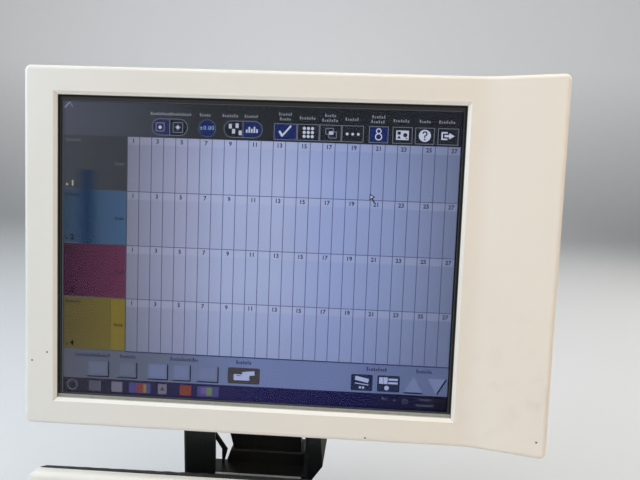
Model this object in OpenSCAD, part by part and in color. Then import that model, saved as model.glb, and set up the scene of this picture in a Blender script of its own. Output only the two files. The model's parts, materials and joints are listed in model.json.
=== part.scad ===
// Control desk display of a printing machine, on its tilting yoke and low plinth.
// The head is drawn upright about its tilt axle and is leant back as it is placed.
// Origin: under the swivel axis, on the face that stands on the desk. +Z is up and the screen faces -Y.

/* [Screen] */
// Width of the lit picture
picture_w = 304; // [280:1:320]
// Height of the lit picture
picture_h = 228; // [210:1:240]
// Gap between the picture and the side edges of the frame's opening
opening_gap_x = 2.5; // [1.5:0.25:4]
// Gap between the picture and the top and bottom edges of the opening
opening_gap_z = 4; // [2:0.25:5]
// Thickness of the touch glass
glass_t = 2; // [1.5:0.5:3]
// How far the glass reaches behind the lip of the opening
glass_lap = 5; // [3:0.5:7]
// Thickness of the display module
module_t = 11; // [8:0.5:12]

/* [Front frame] */
// Frame width beside the opening, on the left
frame_side = 26; // [20:0.5:34]
// Frame width above and below the opening
frame_rail = 22; // [18:0.5:28]
// Thickness of the frame's front wall
frame_front_t = 4; // [3.5:0.25:5]
// Thickness of the frame's side walls
frame_wall = 3; // [2:0.25:4]
// Radius of the rounded front edges
edge_r = 3.8; // [2:0.2:4]
// Radius of the frame's corners, seen from the front
corner_r = 5; // [4:0.5:8]
// Width of the bevel round the opening
bevel_w = 2.5; // [1.5:0.25:3.5]
// Depth of the bevel round the opening
bevel_d = 2.5; // [1:0.25:3]

/* [Grip wing] */
// Distance from the opening to the start of the bend
wing_start = 6.5; // [6:0.5:12]
// Angle at which the wing comes forward
wing_angle = 14; // [8:1:20]
// Radius of the bend on the front face
bend_r = 60; // [40:5:90]
// Length of the wing past the bend
wing_len = 47.5; // [36:0.5:60]
// Thickness of the ribs inside the wing
rib_t = 2; // [1.5:0.25:3]
// Radius of the screw bosses inside the frame
boss_r = 4; // [3.5:0.25:5]

/* [Back of the head] */
// Thickness of the carrier behind the display module
carrier_t = 1.5; // [1:0.25:2]
// Thickness of the back panel
back_t = 2.5; // [2:0.25:3]
// Width of the rear cover at its foot
cover_w = 286; // [250:2:296]
// Height of the rear cover at its foot
cover_h = 206; // [190:2:210]
// Depth of the rear cover
cover_d = 36; // [30:1:36]
// How far each side of the rear cover leans in
cover_lean = 10; // [6:1:16]
// Radius of the rear cover's upright corners
cover_corner_r = 14; // [12:1:20]
// Radius of the rear cover's round shoulder
cover_shoulder_r = 9; // [7:1:12]
// Width of the rear cover's screw flange
cover_flange = 7; // [6:0.5:8]
// Thickness of the rear cover
cover_t = 2.5; // [2:0.25:3]
// Width of the driver box
board_w = 170; // [140:5:180]
// Height of the driver box
board_h = 120; // [100:5:130]
// Thickness of the driver box
board_t = 8; // [6:0.5:12]
// Width of the socket window
socket_w = 62; // [56:1:70]
// Height of the socket window
socket_h = 20; // [18:1:24]
// Side of the square mounting plate
plate_side = 120; // [110:2:130]
// Spacing of the screws in the mounting plate
plate_pitch = 100; // [90:1:102]
// Thickness of the mounting plate and its ribs
plate_t = 5; // [4:0.5:6]

/* [Tilt hinge] */
// How far the head leans back at rest
rest_tilt = 6; // [0:1:12]
// Distance from the tilt axle up to the middle of the picture
axle_below = 150; // [146:1:160]
// Distance from the tilt axle forward to the picture
axle_behind = 60; // [58:1:66]
// How far the middle of the picture lies right of the swivel axis
picture_shift = 5; // [0:1:10]
// Radius of the tilt axle
axle_r = 6; // [4:0.5:7]
// Radius of the hinge barrel
barrel_r = 11; // [10:0.5:12]
// Length of the friction pack left of the barrel
pack_left = 24; // [22:1:28]
// Length of the friction pack right of the barrel
pack_right = 5; // [5:0.5:8]
// Radius of the friction washers
washer_r = 9; // [8.5:0.25:9.5]
// Thickness of one friction washer
washer_t = 2; // [1.5:0.25:3]
// Radius of the axle nuts over their corners
nut_r = 10; // [9:0.5:12]
// Thickness of the axle nuts
nut_t = 5; // [4:0.5:7]

/* [Yoke] */
// Outer face of the left leg, from the swivel axis
leg_left_x = 63; // [60:1:70]
// Width of the left leg's front flange
leg_left_w = 29; // [24:1:30]
// Inner face of the right leg, from the swivel axis
leg_right_x = 46; // [44:1:50]
// Width of the right leg's front flange
leg_right_w = 16; // [12:1:18]
// Height of the corner cut off the right leg's flange
leg_corner_h = 26; // [22:1:30]
// Height at which that cut reaches the flange's inner edge
leg_corner_foot = 8; // [4:1:14]
// Width at the top of the right leg's edge, which is folded back from its flange
leg_return_w = 12; // [8:0.5:14]
// Angle at which that edge is folded back
leg_return_angle = 45; // [30:5:60]
// Depth of the yoke, front to back
yoke_d = 40; // [36:1:44]
// Thickness of the legs' folded plate
leg_t = 3; // [2.5:0.25:4]
// Height of the shelf's top below the axle
shelf_drop = 49.5; // [47:0.5:53]
// Thickness of the shelf
shelf_t = 14; // [12:1:18]
// Height of the bright strip on the shelf's front edge
strip_h = 1; // [0.8:0.1:2.5]
// How deep the bright strip is let into the shelf
strip_in = 1; // [0.8:0.1:2.5]
// Height of the sill in front of the centre block
sill_h = 12.5; // [9:0.5:16]
// How far the sill stands in front of the swivel axis
sill_out = 3; // [1:0.5:5]
// How far the sill's left end leans in
sill_lean = 3.5; // [0:0.5:5]
// Width of the brace's strap, seen from the front
brace_w = 3.5; // [3:0.25:5]
// Thickness of the brace's strap
brace_t = 2.5; // [2:0.25:3]
// Height of the brace's knee above the shelf
brace_knee = 13; // [9:0.5:15]

/* [Swivel] */
// Radius of the swivel post
post_r = 14; // [10:1:15]
// Radius of the swivel disc
disc_r = 36; // [30:1:40]
// Thickness of the swivel disc
disc_t = 6; // [4:1:8]
// Height of the swivel seat on the plinth
seat_h = 38; // [30:1:44]
// Thickness of the seat's flange
seat_flange_t = 8; // [6:1:10]

/* [Plinth] */
// Width of the front panel
panel_w = 360; // [340:2:366]
// Height of the front panel's top above the desk
panel_top = 120.5; // [112:0.5:122]
// Thickness of the front panel
panel_t = 8; // [6:0.5:10]
// Gap under the front panel
panel_foot_gap = 6; // [4:1:12]
// Corner radius of the front panel
panel_corner_r = 9; // [5:1:14]
// Radius of the front panel's rounded edges
panel_edge_r = 4; // [2:0.5:4]
// Distance from the swivel axis to the front panel's face
panel_front = 62; // [60:1:68]
// How far the dark backing stays below the panel's top
backing_drop = 0.5; // [0.5:0.25:3]
// Height of the gussets behind the backing
gusset_h = 46; // [24:1:50]
// Thickness of the gussets
gusset_t = 4; // [3:0.5:6]
// How far the plinth box stays inside the ends of the panel
box_in = 10; // [6:1:20]
// Height of the plinth box
box_h = 42; // [38:1:48]
// Distance from the swivel axis to the back of the plinth box
box_back = 50; // [46:1:60]
// Radius of the plinth box's upright corners
box_corner_r = 6; // [4:0.5:10]
// Thickness of the plinth's sheet metal
sheet_t = 3; // [2:0.5:4]
// Thickness of the plinth's top plate
top_t = 4; // [3:0.5:6]
// Width of the service window in the back of the plinth
window_w = 120; // [90:2:150]
// Height of the service window
window_h = 18; // [12:1:19]
// How far the hatch laps over the window's edge
hatch_lap = 6; // [5:0.5:7]
// Distance from the left end of the plinth box to the cable grommet
grommet_in = 50; // [40:1:70]
// Distance from the swivel axis back to the cable grommet
grommet_back = 20; // [10:1:26]
// Radius of the cable passage through the grommet
cable_r = 8; // [6:0.5:9]
// Thickness of the grommet's rubber
grommet_wall = 4; // [3:0.5:5]
// Spacing of the base holes, left to right
base_pitch_x = 374; // [370:2:380]
// Spacing of the base holes, front to back
base_pitch_y = 70; // [60:2:80]
// Radius of the base holes
base_hole_r = 3.5; // [3:0.25:4.5]
// How far the base plate reaches past the base holes
base_margin = 12; // [9:1:14]

/* [Hidden] */
$fn = 64;

// Small overlap that lets a cut pass cleanly through a face
cut = 1;
// Steps in a quarter turn of a rounded edge
round_steps = 8;
// Steps in the bend of the wing
bend_steps = 14;
// Running clearance between a shaft and its bore
run_gap = 0.05;
// Gap between faces that slide past each other
slide_gap = 0.3;
// Gap round a piece that is let into another
fit_gap = 0.2;
// Least free space between moving pieces
move_gap = 5;
// Radius of the pilot holes for the small screws
pilot_r = 1.4;

opening_w = picture_w + 2 * opening_gap_x;
opening_h = picture_h + 2 * opening_gap_z;
frame_h = opening_h + 2 * frame_rail;
frame_left = opening_w / 2 + frame_side;

// Where the wing bends, the length of the bend, and the length of the head along its front face
bend_x = opening_w / 2 + wing_start;
bend_len = bend_r * wing_angle * PI / 180;
head_end = bend_x + bend_len + wing_len;

// Depths behind the front face of the frame: the layers of the screen, one behind the other
gasket_t = 0.5;
glass_front = frame_front_t + gasket_t;
picture_depth = glass_front + glass_t + slide_gap;
module_back = picture_depth + module_t;
carrier_back = module_back + carrier_t;
panel_depth = carrier_back + fit_gap;
frame_d = panel_depth + back_t;
cover_back = frame_d + cover_d;

// The display module is a little larger than its picture
module_margin = 8;
module_w = picture_w + 2 * module_margin;
module_h = picture_h + 2 * module_margin;

// The flat part of the rear cover's back, and what is cut into it beside the mounting plate
flat_in = cover_lean * (cover_d - cover_shoulder_r) / cover_d + cover_shoulder_r;
flat_w = cover_w - 2 * flat_in;
flat_h = cover_h - 2 * flat_in;
slot_w = 4;
slot_pitch = 11;
slot_margin = 5;
slot_h = flat_h / 2 - plate_side / 2 - 2 * slot_margin;
slot_row = (flat_h + plate_side) / 4;
socket_x = flat_w / 2 - socket_w / 2 - 2 * slot_margin;

// Heights of the yoke and its hinge
axle_h = box_h + seat_h + slide_gap + disc_t + shelf_t + shelf_drop;
shelf_top = axle_h - shelf_drop;
shelf_low = shelf_top - shelf_t;
disc_low = shelf_low - disc_t;

// Places across the yoke
web_left = -leg_left_x + leg_t;
flange_end = -leg_left_x + leg_left_w;
barrel_left = web_left + pack_left;
barrel_right = leg_right_x - pack_right;
yoke_front = -yoke_d / 2;
fold_r = leg_t + 1;

// The plinth box stands behind the dark backing of the front panel
box_front = panel_front - panel_t - sheet_t;
box_w = panel_w - 2 * box_in;
box_d = box_front + box_back;
box_mid = (box_back - box_front) / 2;
grommet_x = grommet_in - box_w / 2;
grommet_r = cable_r + grommet_wall;
grommet_lip = 3;

// Places an upright head part: the children are drawn with the front face of the frame on y = 0
// and with the middle of the picture on x = 0 and z = 0.
module head() {
    about_axle()
        translate([picture_shift, -axle_behind - picture_depth, axle_below])
            children();
}

// Places a part drawn about the tilt axle, with the head upright.
module about_axle() {
    translate([0, 0, axle_h])
        rotate([-rest_tilt, 0, 0])
            children();
}

// Points on an arc, both ends included.
function arc(x, y, r, from, to, steps) =
    [for (i = [0:steps])
        let (turn = from + (to - from) * i / steps)
            [x + r * cos(turn), y + r * sin(turn)]];

// A point given along the wing from the end of the bend, and behind its front face.
function on_wing(along, depth) = [
    bend_x + (bend_r + depth) * sin(wing_angle) + along * cos(wing_angle),
    -bend_r + (bend_r + depth) * cos(wing_angle) - along * sin(wing_angle)
];

// An arc drawn on the wing.
function wing_arc(along, depth, r, from, to, steps) =
    [for (p = arc(along, depth, r, from, to, steps)) on_wing(p[0], p[1])];

// Place in plan of a point at a distance along the front face and a depth behind it.
function in_plan(along, depth) =
    along <= bend_x ? [along, depth]
    : along >= bend_x + bend_len ? on_wing(along - bend_x - bend_len, depth)
    : [
        bend_x + (bend_r + depth) * sin((along - bend_x) / bend_len * wing_angle),
        -bend_r + (bend_r + depth) * cos((along - bend_x) / bend_len * wing_angle)
    ];

// Plan of the head between two depths behind the front face, its ends drawn in by an inset.
module head_plan(from, to, inset, end_r) {
    left = frame_left - inset;
    past_bend = wing_len - inset;
    polygon(concat(
        arc(-left + end_r, from + end_r, end_r, 180, 270, round_steps),
        arc(bend_x, -bend_r, bend_r + from, 90, 90 - wing_angle, bend_steps),
        wing_arc(past_bend - end_r, from + end_r, end_r, -90, 0, round_steps),
        [on_wing(past_bend, to)],
        arc(bend_x, -bend_r, bend_r + to, 90 - wing_angle, 90, bend_steps),
        [[-left, to]]
    ));
}

// A piece of the head with one plan all the way up.
module head_run(from, to, inset, end_r, height) {
    translate([0, 0, -height / 2])
        linear_extrude(height)
            head_plan(from, to, inset, end_r);
}

// Sets its children at a place along the head and a height, facing as the front face does there.
module on_head(along, height) {
    turn = min(max(along - bend_x, 0) / bend_len, 1) * wing_angle;
    place = in_plan(along, 0);
    translate([place[0], place[1], height])
        rotate([0, 0, -turn])
            children();
}

// A round post that runs back from one depth to another.
module post_back(r, from, to) {
    translate([0, from, 0])
        rotate([-90, 0, 0])
            cylinder(r = r, h = to - from);
}

// A solid through a row of rings that have as many points each. Seen along the row, a ring's points turn left.
module loft(rings) {
    n = len(rings[0]);
    last = len(rings) - 1;
    walls = [
        for (i = [0:last - 1])
            for (j = [0:n - 1])
                let (a = i * n + j, b = i * n + (j + 1) % n)
                    for (face = [[a, b, b + n], [a, b + n, a + n]])
                        face
    ];
    ends = [[for (j = [n - 1:-1:0]) j], [for (j = [0:n - 1]) last * n + j]];
    polyhedron([for (ring = rings) for (p = ring) p], concat(walls, ends));
}

// Half the height of the frame at a distance in from its end, with its outline drawn in by an inset.
function half_height(in_from_end, inset) =
    in_from_end >= corner_r ? frame_h / 2 - inset
    : frame_h / 2 - corner_r + sqrt(max(0, pow(corner_r - inset, 2) - pow(corner_r - in_from_end, 2)));

// Half of one section of the frame, as depth and height: round the front edge, then straight back.
function half_section(in_from_end) =
    let (start = in_from_end >= edge_r ? 0 : asin(1 - in_from_end / edge_r))
        concat(
            [for (i = [0:round_steps])
                let (turn = start + (90 - start) * i / round_steps)
                    [edge_r * (1 - cos(turn)), half_height(in_from_end, edge_r * (1 - sin(turn)))]],
            [[frame_d, half_height(in_from_end, 0)]]
        );

// One ring of the frame's skin: the half section, and the same mirrored below.
function frame_ring(along) =
    let (side = half_section(min(along + frame_left, head_end - along)), half = len(side))
        [for (j = [0:2 * half - 1])
            let (p = side[j < half ? j : 2 * half - 1 - j], q = in_plan(along, p[0]))
                [q[0], q[1], j < half ? p[1] : -p[1]]];

// Distances along the head at which the frame's rings stand: close together on the round ends and the bend.
// The first and last rings are turned in a few degrees, so that they close the ends with a narrow face.
first_turn = 5;
end_steps = [for (i = [0:round_steps]) corner_r * (1 - cos(first_turn + (90 - first_turn) * i / round_steps))];
stations = concat(
    [for (s = end_steps) s - frame_left],
    [for (i = [0:bend_steps]) bend_x + bend_len * i / bend_steps],
    [for (i = [round_steps:-1:0]) head_end - end_steps[i]]
);

// Screw bosses in the corners of the frame, at its middle and just before the bend
boss_in = frame_wall + boss_r - cut;
boss_places = [
    for (along = [boss_in - frame_left, 0, bend_x - boss_r, head_end - boss_in])
        for (side = [-1, 1])
            [along, side * (frame_h / 2 - boss_in)]
];

// A rectangle with round corners, centred.
module round_rect(w, h, r) {
    square([w - 2 * r, h], center = true);
    square([w, h - 2 * r], center = true);
    for (x = [-1, 1])
        for (y = [-1, 1])
            translate([x * (w / 2 - r), y * (h / 2 - r)])
                circle(r);
}

// A slab standing in the x-z plane, from one depth to another.
module slab(w, h, r, from, to) {
    translate([0, to, 0])
        rotate([90, 0, 0])
            linear_extrude(to - from)
                round_rect(w, h, r);
}

// An outline in y and z, drawn out along x from one place to another.
module run_across(from, to) {
    translate([from, 0, 0])
        rotate([90, 0, 90])
            linear_extrude(to - from)
                children();
}

// The bevelled mouth: two long wedges crossed, which meet in mitres at the corners.
module bevel_mouth() {
    intersection() {
        run_across(-opening_w, opening_w)
            mouth_wedge(opening_h);
        translate([0, 0, -opening_h])
            linear_extrude(2 * opening_h)
                rotate(90)
                    mirror([0, 1])
                        mouth_wedge(opening_w);
    }
}

// Section through the bevelled mouth: x is the depth, y runs across the opening.
module mouth_wedge(across) {
    slope = bevel_w / bevel_d;
    polygon([
        [-cut, across / 2 + bevel_w + slope * cut], [bevel_d, across / 2],
        [bevel_d, -across / 2], [-cut, -across / 2 - bevel_w - slope * cut]
    ]);
}

// Ribs across the hollow of the wing, which grow deeper towards its end.
module wing_ribs() {
    ribs = 5;
    pitch = frame_h / (ribs + 1);
    front = frame_front_t - cut;
    end = wing_len - frame_wall + cut;
    deep = panel_depth - 3;
    for (i = [0:ribs - 1])
        translate([0, 0, (i - (ribs - 1) / 2) * pitch - rib_t / 2])
            linear_extrude(rib_t)
                polygon([
                    on_wing(0, front), on_wing(end, front), on_wing(end, deep),
                    on_wing(end - frame_wall, deep), on_wing(0, front + 2 * cut)
                ]);
}

module front_frame() {
    color("#ddd8cb")
        head()
            difference() {
                union() {
                    difference() {
                        loft([for (along = stations) frame_ring(along)]);
                        head_run(frame_front_t, frame_d + cut, frame_wall, 1, frame_h - 2 * frame_wall);
                    }
                    for (place = boss_places)
                        on_head(place[0], place[1])
                            post_back(boss_r, frame_front_t - cut, panel_depth);
                    wing_ribs();
                }
                for (place = boss_places)
                    on_head(place[0], place[1])
                        post_back(pilot_r, frame_front_t + cut, frame_d, $fn = 12);
                slab(opening_w, opening_h, 0.5, -cut, frame_d);
                bevel_mouth();
            }
}

module screen_gasket() {
    rim_step = 0.8;
    inner_gap = 0.5;
    color("#3a3937")
        head()
            difference() {
                union() {
                    slab(opening_w, opening_h, 0.5, bevel_d + rim_step, glass_front);
                    slab(opening_w + 2 * glass_lap, opening_h + 2 * glass_lap, 1, frame_front_t, glass_front);
                }
                slab(picture_w + 2 * inner_gap, picture_h + 2 * inner_gap, 0.5, 0, glass_front + cut);
            }
}

module touch_glass() {
    color("#8f9fb5", 0.4)
        head()
            slab(opening_w + 2 * glass_lap, opening_h + 2 * glass_lap, 1, glass_front, glass_front + glass_t);
}

module display_module() {
    color("#7f8fb0")
        head()
            slab(module_w, module_h, 1, picture_depth, module_back);
}

// Plate behind the module, with side flanges that stand on the frame's front wall.
module module_carrier() {
    w = module_w + 2 * (fit_gap + carrier_t);
    color("#9a9c9c")
        head()
            difference() {
                union() {
                    slab(w, module_h, 2, module_back, carrier_back);
                    for (side = [-1, 1])
                        translate([side * (w - carrier_t) / 2, 0, 0])
                            slab(carrier_t, module_h - 4 * module_margin, 0.5, frame_front_t, carrier_back);
                }
                cable_slot(module_back, carrier_back);
            }
}

// The slot through which the module's flat cables pass.
module cable_slot(from, to) {
    translate([0, 0, -board_h / 2 - 12])
        slab(40, 12, 5, from - cut, to + cut);
}

module back_panel() {
    color("#cfcabd")
        head()
            difference() {
                head_run(panel_depth, frame_d, frame_wall + fit_gap, 1, frame_h - 2 * (frame_wall + fit_gap));
                cable_slot(panel_depth, frame_d);
                for (place = boss_places)
                    on_head(place[0], place[1])
                        post_back(pilot_r + fit_gap, panel_depth - cut, frame_d + cut, $fn = 12);
            }
}

// Ring of a rectangle with round corners, standing across the depth at y.
function ring(w, h, r, y) = [
    for (k = [0:3])
        for (p = arc((k % 3 == 0 ? 1 : -1) * (w / 2 - r), (k < 2 ? 1 : -1) * (h / 2 - r), r,
                     90 * k, 90 * k + 90, round_steps))
            [p[0], y, p[1]]
];

// Rings of a hood on the back of the frame: leaning walls, then a round shoulder.
function hood_rings(w, h, d, corner, shoulder, start) = concat(
    [ring(w, h, corner, start)],
    [for (i = [0:round_steps])
        let (
            turn = 90 * i / round_steps,
            bulge = shoulder * (1 - cos(turn)),
            inset = cover_lean / cover_d * (d - shoulder) + bulge
        )
            ring(w - 2 * inset, h - 2 * inset, corner - bulge, frame_d + d - shoulder * (1 - sin(turn)))]
);

module rear_cover() {
    slots = floor((flat_w - 2 * slot_margin) / slot_pitch);
    color("#55585a")
        head()
            difference() {
                union() {
                    loft(hood_rings(cover_w, cover_h, cover_d, cover_corner_r, cover_shoulder_r, frame_d));
                    slab(cover_w + 2 * cover_flange, cover_h + 2 * cover_flange,
                         cover_corner_r + cover_flange, frame_d, frame_d + cover_t);
                }
                loft(hood_rings(
                    cover_w - 2 * cover_t, cover_h - 2 * cover_t, cover_d - cover_t,
                    cover_corner_r - cover_t, cover_shoulder_r - cover_t, frame_d - cut
                ));
                for (i = [0:slots - 1])
                    let (x = (i - (slots - 1) / 2) * slot_pitch)
                        for (side = x > socket_w / 2 + slot_pitch - socket_x ? [-1, 1] : [1])
                            translate([x, 0, side * slot_row])
                                slab(slot_w, slot_h, slot_w / 2 - 0.1, frame_d + cover_d / 2, cover_back + cut);
                translate([-socket_x, 0, -slot_row])
                    slab(socket_w, socket_h, 2, frame_d + cover_d / 2, cover_back + cut);
            }
}

module driver_board() {
    color("#7d8a80")
        head()
            slab(board_w, board_h, 2, frame_d, frame_d + board_t);
}

// Plate behind the socket window, with a round socket and a flat one.
module socket_plate() {
    lap = 3;
    socket_r = 7;
    reach = 5;
    color("#8a8c8c")
        head()
            translate([-socket_x, cover_back - cover_t, -slot_row]) {
                slab(socket_w + 2 * lap, socket_h + 2 * lap, 2, -cover_t, 0);
                translate([socket_w / 4, 0, 0])
                    difference() {
                        post_back(socket_r, -cut, reach);
                        post_back(socket_r - 1, cut, reach + cut);
                    }
                translate([-socket_w / 5, 0, 0])
                    difference() {
                        slab(4 * socket_r, 2 * socket_r, 2, -cut, reach);
                        slab(4 * socket_r - 3, 2 * socket_r - 3, 1, cut, reach + cut);
                    }
            }
}

// Plate on the rear cover, the neck that runs down from it, the ribs behind the neck and the barrel.
module head_bracket() {
    plate_y = cover_back - axle_behind - picture_depth;
    neck_top = axle_below - plate_side / 2 + 2;
    neck_bend = 45;
    neck_in = 10;
    rib_in = 8;
    color("#26282a")
        about_axle()
            difference() {
                union() {
                    translate([picture_shift, 0, axle_below])
                        difference() {
                            slab(plate_side, plate_side, 6, plate_y, plate_y + plate_t);
                            for (x = [-1, 1])
                                for (z = [-1, 1])
                                    translate([x * plate_pitch / 2, 0, z * plate_pitch / 2])
                                        post_back(2.2, plate_y - cut, plate_y + plate_t + cut);
                        }
                    translate([0, plate_y + plate_t, 0])
                        rotate([90, 0, 0])
                            linear_extrude(plate_t)
                                polygon([
                                    [barrel_left, 0], [barrel_right, 0], [barrel_right, neck_bend],
                                    [picture_shift + plate_side / 2 - neck_in, neck_top],
                                    [picture_shift - plate_side / 2 + neck_in, neck_top],
                                    [barrel_left, neck_bend]
                                ]);
                    for (x = [barrel_left + rib_in, barrel_right - rib_in - plate_t])
                        run_across(x, x + plate_t)
                            polygon([
                                [plate_y + cut, neck_top], [plate_y + plate_t, neck_top],
                                [barrel_r - 2, 0], [0, 0], [plate_y + cut, 0]
                            ]);
                    translate([barrel_left, 0, 0])
                        rotate([0, 90, 0])
                            cylinder(r = barrel_r, h = barrel_right - barrel_left);
                }
                translate([barrel_left - cut, 0, 0])
                    rotate([0, 90, 0])
                        cylinder(r = axle_r + run_gap, h = barrel_right - barrel_left + 2 * cut);
            }
}

// A shaft on the axle's line, from one place to another.
module on_axle(r, from, to) {
    translate([from, 0, axle_h])
        rotate([0, 90, 0])
            cylinder(r = r, h = to - from);
}

module tilt_axle() {
    reach = nut_t + 1;
    color("#b9bcbe")
        on_axle(axle_r, -leg_left_x - reach, leg_right_x + leg_t + reach);
}

module axle_nut(x) {
    color("#8e9193")
        difference() {
            on_axle(nut_r, x, x + nut_t, $fn = 6);
            on_axle(axle_r, x - cut, x + nut_t + cut);
        }
}

module axle_nut_left() {
    axle_nut(-leg_left_x - nut_t);
}

module axle_nut_right() {
    axle_nut(leg_right_x + leg_t);
}

// A stack of washers, every second one a little smaller.
module washer_stack(from, to) {
    count = round((to - from) / washer_t);
    each_t = (to - from) / count;
    difference() {
        for (i = [0:count - 1])
            on_axle(washer_r - (i % 2), from + i * each_t, from + (i + 1) * each_t);
        on_axle(axle_r, from - cut, to + cut);
    }
}

module friction_washers() {
    color("#9b8f6a") {
        washer_stack(web_left, barrel_left - slide_gap);
        washer_stack(barrel_right + slide_gap, leg_right_x);
    }
}

// Plan of a leg folded from plate: a flange in front, the web along x = 0, and a short lip behind.
module leg_plan(w, lip) {
    polygon(concat(
        [[w, yoke_front]],
        arc(fold_r, yoke_front + fold_r, fold_r, 270, 180, round_steps),
        arc(fold_r, -yoke_front - fold_r, fold_r, 180, 90, round_steps),
        [[lip, -yoke_front], [lip, -yoke_front - leg_t]],
        arc(fold_r, -yoke_front - fold_r, fold_r - leg_t, 90, 180, round_steps),
        arc(fold_r, yoke_front + fold_r, fold_r - leg_t, 180, 270, round_steps),
        [[w, yoke_front + leg_t]]
    ));
}

// A folded leg with the round ear that carries the axle.
module leg(x, w) {
    lip = 11;
    translate([x, 0, shelf_low])
        linear_extrude(axle_h - shelf_low)
            leg_plan(w, lip);
    on_axle(yoke_d / 2 - fold_r, x, x + leg_t);
}

module left_leg() {
    color("#1d2021")
        difference() {
            leg(-leg_left_x, leg_left_w);
            on_axle(axle_r, -leg_left_x - cut, web_left + cut);
        }
}

// The right leg's flange grows narrower from its cut corner upwards, and there its edge is folded back.
module right_leg() {
    corner_x = leg_right_x + fold_r;
    tip_x = leg_right_x + leg_right_w;
    return_h = axle_h - shelf_low - leg_corner_h;
    fold_lean = 5;
    top_x = tip_x - return_h * tan(fold_lean);
    color("#1d2021") {
        difference() {
            leg(leg_right_x, leg_right_w);
            on_axle(axle_r, leg_right_x - cut, leg_right_x + leg_t + cut);
            translate([0, 0, shelf_low])
                rotate([90, 0, 0])
                    linear_extrude(yoke_d)
                        polygon([
                            [corner_x, -cut], [corner_x, leg_corner_foot], [tip_x, leg_corner_h],
                            [top_x, leg_corner_h + return_h + cut],
                            [tip_x + cut, leg_corner_h + return_h + cut], [tip_x + cut, -cut]
                        ]);
        }
        intersection() {
            translate([tip_x, yoke_front, shelf_low + leg_corner_h])
                rotate([0, -fold_lean, 0])
                    rotate([0, 0, leg_return_angle])
                        translate([0, leg_t, 0])
                            rotate([90, 0, 0])
                                linear_extrude(leg_t)
                                    polygon([
                                        [-leg_t / 2, 0], [0, 0], [leg_return_w, return_h + cut],
                                        [-leg_t / 2, return_h + cut]
                                    ]);
            translate([corner_x, yoke_front, shelf_low])
                cube([leg_right_w + leg_return_w, yoke_d, axle_h - shelf_low]);
        }
    }
}

// Shelf between the legs. It is narrow beside the left leg, where the cables pass behind it.
module yoke_shelf() {
    step_x = flange_end + 6;
    color("#2b2d2d")
        translate([0, 0, shelf_low])
            difference() {
                linear_extrude(shelf_t)
                    polygon([
                        [flange_end, yoke_front], [leg_right_x, yoke_front], [leg_right_x, -yoke_front],
                        [step_x, -yoke_front], [step_x, 0], [web_left, 0], [web_left, yoke_front + fold_r],
                        [web_left + 1, yoke_front + leg_t], [flange_end, yoke_front + leg_t]
                    ]);
                translate([0, 0, -cut])
                    cylinder(r = post_r + run_gap, h = shelf_t - 2 + cut);
                translate([flange_end - cut, yoke_front - cut, shelf_t - strip_h])
                    cube([leg_right_x - flange_end + 2 * cut, strip_in + cut, strip_h + cut]);
            }
}

module shelf_edge_strip() {
    proud = 0.4;
    end_gap = 3;
    color("#c9cbca")
        translate([flange_end, yoke_front - proud, shelf_top - strip_h])
            cube([leg_right_x - flange_end - end_gap, strip_in + proud, strip_h]);
}

// Block under the barrel, with a lower sill in front. Its left end leans in up the sill and out above it.
module centre_block() {
    block_h = shelf_drop - barrel_r - move_gap;
    left = flange_end + 7;
    step = 2;
    right = leg_right_x - 2;
    front = -sill_out;
    back = yoke_d / 2;
    edge = 3;
    color("#202223")
        translate([0, 0, shelf_top])
            intersection() {
                union() {
                    run_across(left, right)
                        polygon([
                            [front, 0], [back, 0], [back, sill_h], [front + 1, sill_h], [front, sill_h - 1]
                        ]);
                    run_across(left, right - edge)
                        polygon([
                            [front + edge, sill_h - cut], [back, sill_h - cut], [back, block_h - edge],
                            [back - edge, block_h], [front + 2 * edge, block_h], [front + edge, block_h - edge]
                        ]);
                }
                translate([0, back + cut, 0])
                    rotate([90, 0, 0])
                        linear_extrude(back - front + 2 * cut)
                            polygon([
                                [left, -cut], [left, 0], [left + sill_lean, sill_h],
                                [left + sill_lean + step, sill_h], [left, block_h + cut],
                                [right + cut, block_h + cut], [right + cut, -cut]
                            ]);
            }
}

// Cranked strap in front of the sill: its foot stands on the shelf, its knee is the widest part, and its
// upper end meets the left leg's web.
module inner_brace() {
    foot = flange_end + 2.5;
    foot_w = brace_w / 2;
    knee_w = brace_w + 1.5;
    rise = 16;
    color("#17191a")
        translate([0, -sill_out, shelf_top])
            rotate([90, 0, 0])
                linear_extrude(brace_t)
                    polygon([
                        [foot, 0], [foot, brace_knee + 1], [foot - 9, brace_knee + rise],
                        [web_left, brace_knee + rise + 2], [web_left, brace_knee + rise + 2 + brace_w],
                        [foot - 7.5, brace_knee + rise + brace_w], [foot + knee_w, brace_knee],
                        [foot + foot_w, 0]
                    ]);
}

module swivel_disc() {
    bore_r = post_r + run_gap;
    color("#3a3d3f")
        translate([0, 0, disc_low])
            rotate_extrude()
                polygon([
                    [bore_r, 0], [disc_r - 1, 0], [disc_r, 1], [disc_r, disc_t], [bore_r, disc_t]
                ]);
}

// Turned seat with its post: a wide flange, a cone up to the bearing face, and the post through the disc.
module swivel_post() {
    flange_r = disc_r + 4;
    bearing_r = disc_r - 6;
    post_top = seat_h + slide_gap + disc_t + shelf_t - 3;
    color("#a9acae")
        translate([0, 0, box_h])
            rotate_extrude()
                polygon([
                    [0, 0], [flange_r, 0], [flange_r, seat_flange_t - 2], [flange_r - 2, seat_flange_t],
                    [bearing_r, seat_flange_t], [bearing_r - 4, seat_flange_t + 5], [bearing_r - 4, seat_h - 3],
                    [bearing_r, seat_h - 3], [bearing_r, seat_h], [post_r, seat_h], [post_r, post_top - 1],
                    [post_r - 1, post_top], [0, post_top]
                ]);
}

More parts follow.
